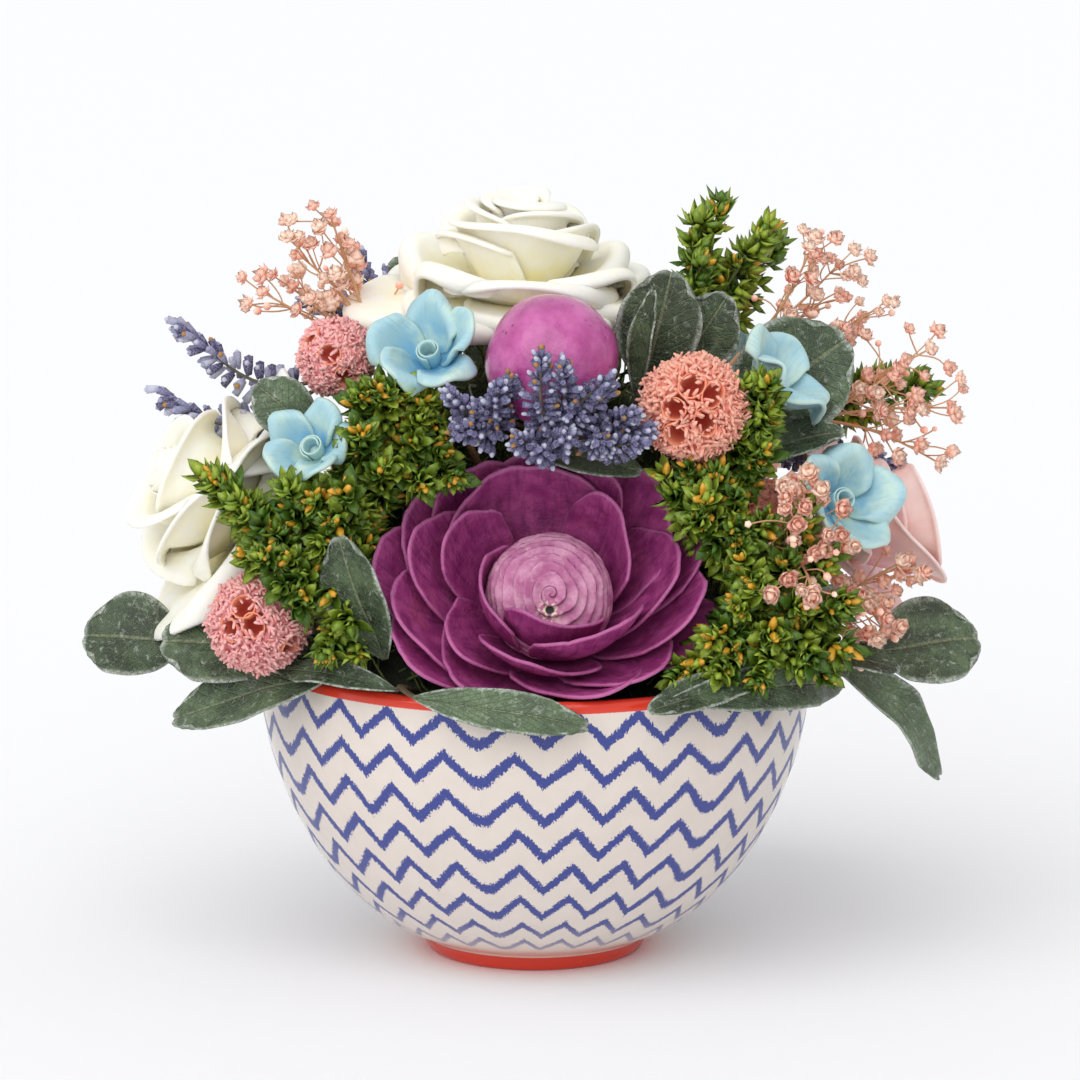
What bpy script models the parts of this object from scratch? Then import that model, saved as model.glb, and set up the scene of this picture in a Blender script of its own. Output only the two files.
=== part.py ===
"""A dried flower arrangement in a patterned ceramic bowl.

Metres, +Z up. The origin is the middle of the bowl's foot, on the surface that it stands on, and -Y is
the front. Places and sizes are written in millimetres and become metres through MM.
"""

import math
import random

import bmesh
import bpy
import numpy as np
from mathutils import Vector
from mathutils.bvhtree import BVHTree

MM = 0.001

# Bowl: outer radius at each height, read up the outside from the foot to the rim.
RIM_HEIGHT = 84.0
RIM_RADIUS = 75.2
FOOT_RADIUS = 31.6
FOOT_CONTACT_RADIUS = 29.6
FOOT_HEIGHT = 4.5
FOOT_RECESS = 2.0
FOOT_RING_WIDTH = 5.0
RIM_ROUND = 1.2
WALL = 4.0
OUTSIDE = [(40.6, 9), (51.2, 18), (61.8, 32), (69.5, 48), (73.9, 65)]
BOWL_SIDES = 32

# Foam: it fills the bowl to its shoulder and rises as a dome that the stems are pushed into.
FOAM_GAP = 0.4
FOAM_SHOULDER = (66.0, 67.0)
FOAM_DOME = [(44.0, 71.0), (36.0, 80.0), (31.0, 106.0), (24.0, 132.0), (14.0, 150.0)]
FOAM_TOP = 158.0
FOAM_SIDES = 12
FOAM_HEART = (0.0, 2.0, 108.0)

# Stems: how deep they stand in the foam, and how far their holes clear them.
STEM_DEPTH = 13.0
HOLE_GAP = 0.3
HOLE_SIDES = 3
PICK_RADIUS = 1.1
TWIG_RADIUS = 0.7
CLEARANCE = 0.35

PETAL_THICKNESS = 0.8
LEAF_THICKNESS = 0.7


def clear_scene():
    for obj in list(bpy.data.objects):
        bpy.data.objects.remove(obj)


def material(name, colour, roughness=0.6):
    """One finish: a plain Principled surface of the part's colour."""
    found = bpy.data.materials.get(name)
    if found:
        return found
    made = bpy.data.materials.new(name)
    made.use_nodes = True
    shader = made.node_tree.nodes["Principled BSDF"]
    shader.inputs["Base Color"].default_value = (*colour, 1.0)
    shader.inputs["Roughness"].default_value = roughness
    shader.inputs["Metallic"].default_value = 0.0
    return made


# Solids. Each helper returns (points, faces) of one closed body facing out.


def lathe(profile, sides):
    """Turns a profile of (radius, height) about +Z. Its first and last points lie on the axis."""
    bm = bmesh.new()
    verts = [bm.verts.new((r, 0.0, z)) for r, z in profile]
    edges = [bm.edges.new(pair) for pair in zip(verts, verts[1:])]
    bmesh.ops.spin(
        bm, geom=verts + edges, cent=(0, 0, 0), axis=(0, 0, 1), steps=sides, angle=math.tau, use_merge=True
    )
    bmesh.ops.remove_doubles(bm, verts=bm.verts, dist=0.001)
    bmesh.ops.recalc_face_normals(bm, faces=bm.faces)
    return read_and_free(bm)


def read_and_free(bm):
    bm.verts.index_update()
    points = np.array([v.co for v in bm.verts])
    faces = [[v.index for v in f.verts] for f in bm.faces]
    bm.free()
    return points, faces


def sheet(grid, thickness):
    """Thickens a grid of points, rows by columns, to both sides. Both faces share their diagonals.

    The first row keeps only its two end points, so that the sheet has a narrow root.
    """
    rows, columns = grid.shape[:2]
    along = np.gradient(grid, axis=0)
    across = np.gradient(grid, axis=1)
    normal = np.cross(across, along)
    normal /= np.linalg.norm(normal, axis=2, keepdims=True)
    index = np.arange(rows * columns).reshape(rows, columns)
    a, b = index[1:-1, :-1].ravel(), index[1:-1, 1:].ravel()
    c, d = index[2:, 1:].ravel(), index[2:, :-1].ravel()
    top = np.concatenate([np.stack([a, b, c], 1), np.stack([a, c, d], 1)]).tolist()
    left, right, middle = 0, columns - 1, columns // 2
    top.append([left, right, index[1, middle]])
    top += [[left, index[1, j + 1], index[1, j]] for j in range(middle)]
    top += [[right, index[1, j + 1], index[1, j]] for j in range(middle, columns - 1)]
    border = [left, right, *index[1:, -1], *index[-1, -2::-1], *index[-2:0:-1, 0]]
    used = np.array(sorted(set(index.ravel().tolist()) - set(range(1, columns - 1))))
    place_of = {old: new for new, old in enumerate(used.tolist())}
    top = [[place_of[int(i)] for i in face] for face in top]
    border = [place_of[int(i)] for i in border]
    count = len(used)
    faces = top + [[i + count for i in face[::-1]] for face in top]
    for here, after in zip(border, border[1:] + border[:1]):
        faces += [[here, here + count, after + count], [here, after + count, after]]
    middle_points = grid.reshape(-1, 3)[used]
    offset = normal.reshape(-1, 3)[used] * thickness / 2
    return np.concatenate([middle_points + offset, middle_points - offset]), faces


def tube(path, radii, sides):
    """A round bar of the given radii along a path, with flat ends."""
    path = np.array([tuple(p) for p in path], float)
    radii = np.broadcast_to(np.asarray(radii, float), len(path))
    heading = np.gradient(path, axis=0)
    heading /= np.linalg.norm(heading, axis=1, keepdims=True)
    side = np.cross(heading[0], (0.36, 0.48, 0.8))
    rings = []
    for centre, direction, radius in zip(path, heading, radii):
        side = side - direction * (side @ direction)
        side /= np.linalg.norm(side)
        up = np.cross(direction, side)
        angle = np.arange(sides) * math.tau / sides
        rings.append(centre + radius * (np.outer(np.cos(angle), side) + np.outer(np.sin(angle), up)))
    faces = [list(range(sides))[::-1], [len(path) * sides - sides + k for k in range(sides)]]
    for ring in range(len(path) - 1):
        for k in range(sides):
            low, high = ring * sides, ring * sides + sides
            after = (k + 1) % sides
            faces.append([low + k, low + after, high + after, high + k])
    return np.concatenate(rings), faces


def bead(path, radii, sides):
    """A closed body round a straight path: rings of the given radii between its two end points."""
    path = np.array([tuple(p) for p in path], float)
    direction = (path[-1] - path[0]) / np.linalg.norm(path[-1] - path[0])
    side = np.cross(direction, (0.36, 0.48, 0.8))
    side /= np.linalg.norm(side)
    up = np.cross(direction, side)
    angle = np.arange(sides) * math.tau / sides
    circle = np.outer(np.cos(angle), side) + np.outer(np.sin(angle), up)
    rings = [centre + radius * circle for centre, radius in zip(path[1:-1], radii)]
    points = np.concatenate([*rings, path[:1], path[-1:]])
    first, last = len(points) - 2, len(points) - 1
    after = [(k + 1) % sides for k in range(sides)]
    faces = [[first, after[k], k] for k in range(sides)]
    for ring in range(len(rings) - 1):
        low, high = ring * sides, (ring + 1) * sides
        faces += [[low + k, low + after[k], high + after[k], high + k] for k in range(sides)]
    top = (len(rings) - 1) * sides
    faces += [[last, top + k, top + after[k]] for k in range(sides)]
    return points, faces


def axes_for(direction, spin=0.0):
    """Three unit columns whose last is the direction, turned about it by spin degrees."""
    z = np.array(direction, float)
    z /= np.linalg.norm(z)
    x = np.cross((0.0, 0.0, 1.0), z)
    if np.linalg.norm(x) < 1e-3:
        x = np.array((1.0, 0.0, 0.0))
    x /= np.linalg.norm(x)
    y = np.cross(z, x)
    cos, sin = math.cos(math.radians(spin)), math.sin(math.radians(spin))
    return np.stack([x * cos + y * sin, y * cos - x * sin, z], 1)


def place(solid, base, turn):
    """Turns a solid made in a flower's own frame and stands it on its base."""
    points, faces = solid
    return points @ turn.T + np.array(base, float), faces


# Objects.


def new_object(name, solid, finish):
    """An object from a solid in millimetres."""
    points, faces = solid
    mesh = bpy.data.meshes.new(name)
    mesh.from_pydata((np.asarray(points) * MM).tolist(), [], faces)
    mesh.materials.append(finish)
    obj = bpy.data.objects.new(name, mesh)
    bpy.context.scene.collection.objects.link(obj)
    return obj


def largest_body(bm):
    """Deletes every loose scrap and every sealed hollow that a union leaves."""
    left = set(bm.verts)
    bodies = []
    while left:
        queue = [left.pop()]
        body = set(queue)
        while queue:
            for edge in queue.pop().link_edges:
                for vert in edge.verts:
                    if vert not in body:
                        body.add(vert)
                        queue.append(vert)
        left -= body
        bodies.append(body)
    bodies.sort(key=len)
    scraps = [vert for body in bodies[:-1] for vert in body]
    bmesh.ops.delete(bm, geom=scraps, context="VERTS")


def boolean(obj, others, operation, solver):
    """Applies one Boolean with a collection of solids, and removes them."""
    operands = bpy.data.collections.new("operands")
    bpy.context.scene.collection.children.link(operands)
    for other in others:
        bpy.context.scene.collection.objects.unlink(other)
        operands.objects.link(other)
    modifier = obj.modifiers.new("join", "BOOLEAN")
    modifier.operation = operation
    modifier.operand_type = "COLLECTION"
    modifier.collection = operands
    modifier.solver = solver
    graph = bpy.context.evaluated_depsgraph_get()
    made = bpy.data.meshes.new_from_object(obj.evaluated_get(graph))
    obj.modifiers.clear()
    old = obj.data
    obj.data = made
    bpy.data.meshes.remove(old)
    for other in others:
        bpy.data.meshes.remove(other.data)
    bpy.data.collections.remove(operands)
    bm = bmesh.new()
    bm.from_mesh(obj.data)
    largest_body(bm)
    bmesh.ops.triangulate(bm, faces=bm.faces)
    bm.to_mesh(obj.data)
    bm.free()


def fuse(name, solids, finish):
    """One node from a stem and the pieces that are sunk into it."""
    obj = new_object(name, solids[0], finish)
    others = [new_object(f"{name}_piece", solid, finish) for solid in solids[1:]]
    if others:
        boolean(obj, others, "UNION", "MANIFOLD")
    occupied.add(obj)
    return obj


class Occupied:
    """The nodes placed so far. A small piece that would cross one of them is left out."""

    def __init__(self):
        self.nodes = []

    def add(self, obj):
        points = np.array([v.co for v in obj.data.vertices]) / MM
        self.add_solid(obj.name, (points, [list(p.vertices) for p in obj.data.polygons]))

    def add_solid(self, name, solid):
        points, faces = solid
        tree = BVHTree.FromPolygons(points.tolist(), faces)
        self.nodes.append((name, tree, points.min(0), points.max(0)))

    def crossed_by(self, solid, gap=CLEARANCE):
        """The name of a node that the solid crosses, lies in or comes nearer to than the gap, or None."""
        points, faces = solid
        low, high = points.min(0) - gap, points.max(0) + gap
        own = BVHTree.FromPolygons(points.tolist(), faces)
        for name, tree, node_low, node_high in self.nodes:
            if (low > node_high).any() or (high < node_low).any():
                continue
            if own.overlap(tree) or holds(tree, points[0]):
                return name
            if any(tree.find_nearest(Vector(point))[3] < gap for point in points):
                return name
        return None


def holds(tree, point):
    """Whether a point is inside a closed body: a ray from it then leaves through an odd number of faces."""
    direction = Vector((0.3127, 0.5411, 0.7806)).normalized()
    start, crossings = Vector(point), 0
    while True:
        hit = tree.ray_cast(start, direction)[0]
        if hit is None:
            return crossings % 2 == 1
        crossings += 1
        start = hit + direction * 0.001


# Stems in the foam.


def foam_profile():
    """The foam from the middle of its underside, up the bowl's inside and over the dome."""
    inside = [(r - WALL - FOAM_GAP, z) for r, z in OUTSIDE if z < FOAM_SHOULDER[1] - 4.0]
    floor = FOOT_HEIGHT + WALL + FOAM_GAP
    side = [(r, z) for r, z in inside if z > floor + 3.0]
    return [(0.0, floor), (34.0, floor), *side, FOAM_SHOULDER, *FOAM_DOME, (0.0, FOAM_TOP)]


def tree_of(obj):
    points = [list(v.co / MM) for v in obj.data.vertices]
    return BVHTree.FromPolygons(points, [list(p.vertices) for p in obj.data.polygons])


# Shifts of a stem's aim from the foam's middle, in the order in which they are tried.
AIMS = [(0, 0, 0), (0, 0, 12), (0, 0, -12)]
AIMS += [(5, 0, 4), (-5, 0, 4), (0, 5, 4), (0, -5, 4), (7, 0, -8), (-7, 0, -8)]
AIMS += [(0, 0, 24), (0, 0, 34), (0, 0, -24), (8, 5, 14), (-8, 5, 14)]
AIMS += [(9, 0, -20), (-9, 0, -20), (0, 9, -20), (0, -9, 20)]


def bent_stem(name, start, via=(), radius=TWIG_RADIUS, aim=None):
    """A stem from its end in the foam to its start, through the via points.

    It stands straight in its hole. Of a few aims near the foam's middle, the first one whose way is clear
    of every other node is kept.
    """
    way = [Vector(p) for p in via] + [Vector(start)]
    height = min(FOAM_HEART[2], 0.5 * (way[0].z + FOAM_HEART[2]))
    heart = Vector(aim or (0.12 * way[0].x, 0.12 * way[0].y, height))
    blocker = None
    for shift in AIMS:
        direction = (heart + Vector(shift) - way[0]).normalized()
        hit = foam_tree.ray_cast(way[0], direction)[0]
        if hit is None:
            continue
        end = hit + direction * STEM_DEPTH
        crossed = occupied.crossed_by(tube([end, *way], radius + CLEARANCE, 6))
        blocker = blocker or crossed
        if crossed is None:
            wide = (radius + HOLE_GAP) / math.cos(math.pi / HOLE_SIDES)
            holes.append(tube([end + direction * HOLE_GAP, hit - direction * 9.0], wide, HOLE_SIDES))
            return [end, *way]
    print("no clear way into the foam for", name, "past", blocker)
    return [end, *way]


# Flowers. Each petal is a grid: s runs across from -1 to 1, and t runs along from its root to its tip.


def petal(azimuth, root, length, width, headings, columns=4, rows=4, drop=0.24, tilt=0.9, waist=0.2):
    """A petal that follows a surface turned about the flower's axis.

    Its middle leaves the root (radius, height) and climbs at the headings, degrees above the flower's
    base plane, from root to tip. Its sides are wrapped round the axis. drop lowers the corners, and tilt
    lifts one side over the next petal.
    """
    s, t = np.meshgrid(np.linspace(-1, 1, columns), np.linspace(0, 1, rows))
    run = t * (1 - drop * np.abs(s) ** 2.5)
    fine = np.linspace(0, 1, 61)
    angle = np.radians(np.interp(fine, np.linspace(0, 1, len(headings)), headings))
    step = length / 60
    radius_along = root[0] + np.concatenate([[0], np.cumsum(np.cos(angle[1:]) * step)])
    height_along = root[1] + np.concatenate([[0], np.cumsum(np.sin(angle[1:]) * step)])
    radius, height = np.interp(run, fine, radius_along), np.interp(run, fine, height_along)
    slope = np.interp(run, fine, angle)
    reach = width * (waist + (1 - waist) * np.sin(np.minimum(run / 0.62, 1) * math.pi / 2))
    around = math.radians(azimuth) + s * reach / np.maximum(radius, 0.42 * width + 1.0)
    lift = tilt * s * np.minimum(run / 0.5, 1)
    radius = radius + lift * np.sin(slope)
    height = height - lift * np.cos(slope)
    grid = np.stack([radius * np.cos(around), radius * np.sin(around), height], 2)
    return sheet(grid, PETAL_THICKNESS)


def pick(name, base, axis, aim=None):
    """The straight wooden pick that holds a flower in the foam."""
    start = Vector(base) + Vector(axis).normalized() * 1.0
    return tube(bent_stem(name, start, radius=PICK_RADIUS, aim=aim), PICK_RADIUS, 4)


# Rounds of a rose, inside to outside: petals, first azimuth, root radius and height, length and
# half-width as shares of the rose's size, and headings.
ROSE_ROUNDS = [
    (3, 20, 0.11, 0.05, 0.56, 0.30, (34, 84, 100)),
    (4, 70, 0.11, 0.02, 0.72, 0.42, (24, 62, 34)),
    (5, 15, 0.11, -0.01, 0.90, 0.48, (12, 24, -14)),
]
ROSE_HEART = [(0, -0.06), (0.14, -0.04), (0.14, 0.08), (0.07, 0.14), (0.09, 0.40), (0, 0.46)]


def rose(name, base, axis, size, finish, spin=0.0, reach=(1.0,), aim=None):
    """A rose of rolled petals: a bud, an upright round and a round that lies open.

    size is the radius of the open round. reach lengthens or shortens its petals, one after another.
    """
    turn = axes_for(axis, spin)
    solids = [place(lathe([(r * size, z * size) for r, z in ROSE_HEART], 6), base, turn)]
    for count, first, radius, height, length, width, headings in ROSE_ROUNDS:
        for k in range(count):
            stretch = reach[k % len(reach)] if count == 5 else 1.0
            root = (radius * size, height * size)
            piece = petal(
                first + k * 360 / count,
                root,
                length * size * stretch,
                width * size,
                headings,
                columns=4 if count == 5 else 3,
                rows=4 if count == 5 else 3,
                tilt=0.045 * size,
            )
            solids.append(place(piece, base, turn))
    solids.append(pick(name, base, axis, aim))
    return fuse(name, solids, finish)


# Rounds of the purple flower, inside to outside: petals, first azimuth, root radius and height, length,
# half-width, and headings.
PURPLE_ROUNDS = [
    (4, 20, 9.5, 2.8, 25, 15.5, (10, 80, 86)),
    (5, 50, 9.5, 1.0, 36, 20.0, (8, 58, 72)),
    (7, 20, 9.5, -0.8, 50, 21.5, (2, 36, 52)),
]
PURPLE_CORE = [(0, -2.5), (10.5, -2), (11, 4.5), (14.2, 9), (14.6, 16), (11.0, 21), (0, 23.4)]


def purple_flower(name, base, axis, finish):
    """A flower of broad shell-like petals round a core of rolled wood shaving. It is squat up and down."""
    turn = axes_for(axis)
    solids = [place(lathe(PURPLE_CORE, 12), base, turn)]
    for count, first, radius, height, length, width, headings in PURPLE_ROUNDS:
        for k in range(count):
            azimuth = first + k * 360 / count
            upwards = math.sin(math.radians(azimuth))
            squat = 1.0 - (0.27 - 0.05 * upwards if count == 7 else 0.08) * upwards**2
            piece = petal(
                azimuth,
                (radius, height),
                length * squat,
                width,
                headings,
                rows=4 if count == 7 else 3,
                tilt=2.0,
                drop=0.3,
            )
            solids.append(place(piece, base, turn))
    solids.append(pick(name, base, axis))
    return fuse(name, solids, finish)


BLUE_PETALS = 5
BLUE_HEADINGS = (24, 50, 40)


def blue_flower(name, base, axis, size, finish, spin=0.0):
    """A small open flower of thick petals round a rolled tube."""
    turn = axes_for(axis, spin)
    core = [(0, -1.5), (2.8, -1.0), (2.8, 2.4), (1.6, 0.46 * size), (0, 0.48 * size)]
    solids = [place(lathe(core, 5), base, turn)]
    for k in range(BLUE_PETALS):
        piece = petal(
            k * 360 / BLUE_PETALS,
            (2.0, 0.5),
            size * 0.97,
            size * 0.42,
            BLUE_HEADINGS,
            columns=3,
            rows=3,
            drop=0.36,
            tilt=1.1,
        )
        solids.append(place(piece, base, turn))
    solids.append(pick(name, base, axis))
    return fuse(name, solids, finish)


def coral_head(name, centre, size, finish, seed):
    """A round seed head whose crumbly fringe and pits are raised from a ball by a formula."""
    draw = random.Random(seed)
    pits = [Vector([draw.gauss(0, 1) for _ in range(3)]).normalized() for _ in range(8)]
    bm = bmesh.new()
    bmesh.ops.create_uvsphere(bm, u_segments=12, v_segments=9, radius=1.0)
    for n, vert in enumerate(bm.verts):
        direction = vert.co.normalized()
        pit = max(direction.dot(p) for p in pits)
        depth = 0.24 * min(1.0, max(0.0, (pit - 0.90) / 0.07))
        ridge = 0.055 if (n + n // 12) % 2 else -0.055
        vert.co = direction * (size * (1.0 - depth + ridge))
    points, faces = read_and_free(bm)
    return headed_pick(name, (points, faces), centre, size, finish)


def purple_ball(name, centre, size, finish):
    """A smooth dyed seed pod on a pick."""
    bm = bmesh.new()
    bmesh.ops.create_uvsphere(bm, u_segments=14, v_segments=9, radius=size)
    return headed_pick(name, read_and_free(bm), centre, size, finish)


def past(path, extra=0.9):
    """The path with its last point moved on, so that what starts there is sunk into the stem."""
    end = path[-1] + (path[-1] - path[-2]).normalized() * extra
    return [*path[:-1], end]


def headed_pick(name, ball, centre, size, finish):
    points, faces = ball
    inwards = (Vector(FOAM_HEART) - Vector(centre)).normalized()
    start = Vector(centre) + inwards * (size * 0.75)
    path = bent_stem(name, start, radius=PICK_RADIUS)
    return fuse(name, [(points + np.array(centre, float), faces), tube(path, PICK_RADIUS, 4)], finish)


# Leaves.

LEAF_SHAPE = [(0.0, 0.14), (0.28, 0.76), (0.72, 1.0), (1.0, 0.48)]
STALK_WIDTH = 1.2


def leaf_blade(hub, base, tip, width, face, bend=0.08, cup=0.10, notch=0.07):
    """A blade from base to tip whose upper side looks along face, with its stalk from the hub.

    bend arches the blade, and cup lifts its sides.
    """
    hub, base, tip = (np.array(tuple(p), float) for p in (hub, base, tip))
    length = np.linalg.norm(tip - base)
    along = (tip - base) / length
    normal = np.array(face, float)
    normal -= along * (normal @ along)
    normal /= np.linalg.norm(normal)
    across = np.cross(normal, along)
    t = np.array([k for k, _ in LEAF_SHAPE])[:, None]
    reach = np.array([w for _, w in LEAF_SHAPE])[:, None] * width / 2
    s = np.array([-1.0, 0.0, 1.0])[None, :]
    run = t - notch * (1 - np.abs(s)) * (t > 0.95)
    height = 4 * bend * length * t * (1 - t) + cup * width * s * s * np.sin(t * math.pi * 0.7)
    grid = base + (run * length)[..., None] * along
    grid = grid + (s * reach)[..., None] * across + height[..., None] * normal
    start = hub + s[..., None] * across * STALK_WIDTH / 2
    return sheet(np.concatenate([start, grid]), LEAF_THICKNESS)


def leaf_sprig(name, hub, leaves, via=(), aim=None):
    """Leaves on one twig. Each leaf is (base, tip, width, face, bend, cup)."""
    solids = [tube(bent_stem(name, hub, via, aim=aim), TWIG_RADIUS, 4)]
    for base, tip, width, face, bend, cup in leaves:
        inwards = (Vector(hub) - Vector(base)).normalized()
        blade = leaf_blade(Vector(hub) + inwards * 0.3, base, tip, width, face, bend, cup)
        crossed = occupied.crossed_by(blade, 0.25)
        if crossed:
            print(name, "leaf to", tuple(tip), "crosses", crossed)
        solids.append(blade)
    return fuse(name, solids, LEAF)


# Fine stems and their repeats. A repeat that would cross another node, or the foam, is left out.


def free(solid, gap=CLEARANCE):
    return occupied.crossed_by(solid, gap) is None and foam_clear(solid[0])


def foam_clear(points):
    """Whether all the points lie outside the foam, by its profile of radius against height."""
    heights = np.array([z for _, z in FOAM_DOME] + [FOAM_TOP])
    radii = np.array([r for r, _ in FOAM_DOME] + [0.0])
    limit = np.interp(points[:, 2], heights, radii, left=FOAM_SHOULDER[0], right=-1.0)
    return bool((np.hypot(points[:, 0], points[:, 1]) > limit + 0.6).all())


def spike_frame(root, tip):
    """The unit vector along a spike, and a function that gives the unit vector out from it at an angle."""
    along = (tip - root).normalized()
    turn = axes_for(along)

    def outwards(angle):
        return Vector(turn @ np.array((math.cos(angle), math.sin(angle), 0.0)))

    return along, outwards


def budded_spike(hub, root, tip, kind, draw):
    """A stalk from the hub and a spike whose every face is raised to a bud that leans towards the tip.

    A face whose point would reach another node, or the foam, stays low.
    """
    along, outwards = spike_frame(root, tip)
    sides, pitch, core = kind["sides"], kind["pitch"], kind["core"]
    rings = max(2, round((tip - root).length / pitch)) + 1
    points = []
    for ring in range(rings):
        centre = root.lerp(tip, ring / (rings - 1))
        radius = core if ring < rings - 1 else core / 2
        angles = [math.tau * (k + 0.5 * (ring % 2)) / sides for k in range(sides)]
        points += [centre + outwards(angle) * radius for angle in angles]
    points += [hub, tip + along * kind["length"] * 0.7]
    bottom, top = rings * sides, rings * sides + 1
    faces = [[bottom, (k + 1) % sides, k] for k in range(sides)]
    last = (rings - 1) * sides
    faces += [[top, last + k, last + (k + 1) % sides] for k in range(sides)]
    for ring in range(rings - 1):
        for k in range(sides):
            low, high = ring * sides, (ring + 1) * sides
            after = (k + 1) % sides
            quad = [low + k, low + after, high + after, high + k]
            if ring % 2:
                quad = [low + k, low + after, high + (k + 2) % sides, high + after]
            centre = sum((points[i] for i in quad), Vector()) / 4
            out = (centre - root - along * (centre - root).dot(along)).normalized()
            lean = out * kind["splay"] + along * (1 - kind["splay"])
            point = centre + lean.normalized() * kind["length"] * draw.uniform(0.8, 1.2)
            if not free(bead([centre, centre.lerp(point, 0.1), point], [core * 0.7], 3)):
                point = centre + out * 0.3
            points.append(point)
            peak = len(points) - 1
            faces += [[quad[i], quad[(i + 1) % 4], peak] for i in range(4)]
    return np.array([tuple(p) for p in points]), faces


def spiked_spray(name, finish, hub, tips, seed, kind, via=(), aim=None, bare=0.3):
    """A stem that parts at its hub into spikes crowded with buds over their outer part."""
    draw = random.Random(seed)
    hub = Vector(hub)
    solids = [tube(past(bent_stem(name, hub, via, radius=0.7, aim=aim)), 0.7, 3)]
    for tip in tips:
        tip = Vector(tip)
        root = hub.lerp(tip, bare)
        core = bead([hub, root, tip, tip + (tip - root) * 0.05], [kind["core"]] * 2, 3)
        crossed = occupied.crossed_by(core, 0.1)
        if crossed:
            print(name, "spike to", tuple(round(v) for v in tip), "crosses", crossed)
            continue
        spike = budded_spike(hub, root, tip, kind, draw)
        solids.append(spike)
    return fuse(name, solids, finish)


def blossom_thread(start, end, draw):
    """A thread that swells into one round blossom at its end."""
    size = draw.uniform(2.2, 2.9)
    along = (end - start).normalized()
    path = [start, start + along * 1.3, end - along * size * 1.1, end, end + along * size * 0.9]
    return bead(path, [0.45, 0.4, size], 3)


def gypsophila(name, hub, tips, seed, via=(), aim=None):
    """A spray of tiny round blossoms: a branch to each tip forks into threads that end in blossoms."""
    draw = random.Random(seed)
    hub = Vector(hub)
    solids = [tube(past(bent_stem(name, hub, via, radius=0.7, aim=aim)), 0.7, 3)]
    for tip in tips:
        tip = Vector(tip)
        along, outwards = spike_frame(hub, tip)
        branch = blossom_thread(hub, tip, draw)
        crossed = occupied.crossed_by(branch, 0.2)
        if crossed:
            print(name, "branch to", tuple(round(v) for v in tip), "crosses", crossed)
            continue
        solids.append(branch)
        first = draw.uniform(0, math.tau)
        for k in range(2):
            lean = (along + outwards(first + k * math.pi) * 0.9).normalized()
            start = hub.lerp(tip, 0.45 + 0.2 * k)
            end = start + lean * max(8.0, (tip - hub).length * 0.38)
            thread = blossom_thread(start, end, draw)
            if free(thread, 0.25):
                solids.append(thread)
    return fuse(name, solids, PEACH)


# The bowl and the foam.


def bowl_profile():
    """The bowl's section: from its underside's middle up the outside, over the rim and down the inside."""
    ring = FOOT_CONTACT_RADIUS - FOOT_RING_WIDTH
    underside = [(0.0, FOOT_RECESS), (ring - 1.0, FOOT_RECESS), (ring, 0.0), (FOOT_CONTACT_RADIUS, 0.0)]
    shoulder = RIM_HEIGHT - RIM_ROUND
    outside = [(FOOT_RADIUS, FOOT_HEIGHT), *OUTSIDE, (RIM_RADIUS, shoulder)]
    rim = [(RIM_RADIUS - RIM_ROUND, RIM_HEIGHT), (RIM_RADIUS - WALL + 1.0, RIM_HEIGHT)]
    rim.append((RIM_RADIUS - WALL, shoulder))
    floor = FOOT_HEIGHT + WALL
    inside = [(r - WALL, z) for r, z in OUTSIDE[::-1] if z > floor + 3.0]
    return [*underside, *outside, *rim, *inside, (34.0, floor), (0.0, floor)]


clear_scene()
occupied = Occupied()
holes = []

GLAZE = material("bowl_glaze", (0.80, 0.76, 0.70), 0.25)
FOAM = material("dry_foam", (0.20, 0.17, 0.12), 0.95)
CREAM = material("cream_petal", (0.86, 0.84, 0.74), 0.6)
PINK = material("pink_petal", (0.86, 0.62, 0.60), 0.6)
PURPLE = material("purple_petal", (0.33, 0.08, 0.26), 0.55)
ORCHID = material("orchid_pod", (0.52, 0.16, 0.44), 0.35)
BLUE = material("blue_petal", (0.50, 0.74, 0.80), 0.6)
CORAL = material("coral_fringe", (0.83, 0.42, 0.36), 0.85)
LILAC = material("lavender_bud", (0.20, 0.18, 0.34), 0.85)
GREEN = material("green_bract", (0.25, 0.34, 0.08), 0.75)
PEACH = material("peach_blossom", (0.80, 0.52, 0.42), 0.85)
LEAF = material("preserved_leaf", (0.14, 0.20, 0.13), 0.5)

LAVENDER_KIND = {"pitch": 4.0, "length": 3.2, "core": 2.2, "sides": 3, "splay": 0.75}
GREEN_KIND = {"pitch": 6.2, "length": 6.6, "core": 2.3, "sides": 4, "splay": 0.62}

PURPLE_BASE = (3.4, -35.0, 100.0)
PURPLE_AXIS = (0.03, -0.707, 0.707)

bowl = new_object("bowl", lathe(bowl_profile(), BOWL_SIDES), GLAZE)
occupied.add(bowl)

foam = new_object("foam", lathe(foam_profile(), FOAM_SIDES), FOAM)
seat_profile = [(0, -6), (15, -6), (38, 4), (60, 22), (60, 70), (0, 70)]
seat = place(lathe(seat_profile, 8), PURPLE_BASE, axes_for(PURPLE_AXIS))
boolean(foam, [new_object("seat", seat, FOAM)], "DIFFERENCE", "MANIFOLD")
foam_tree = tree_of(foam)

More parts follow.
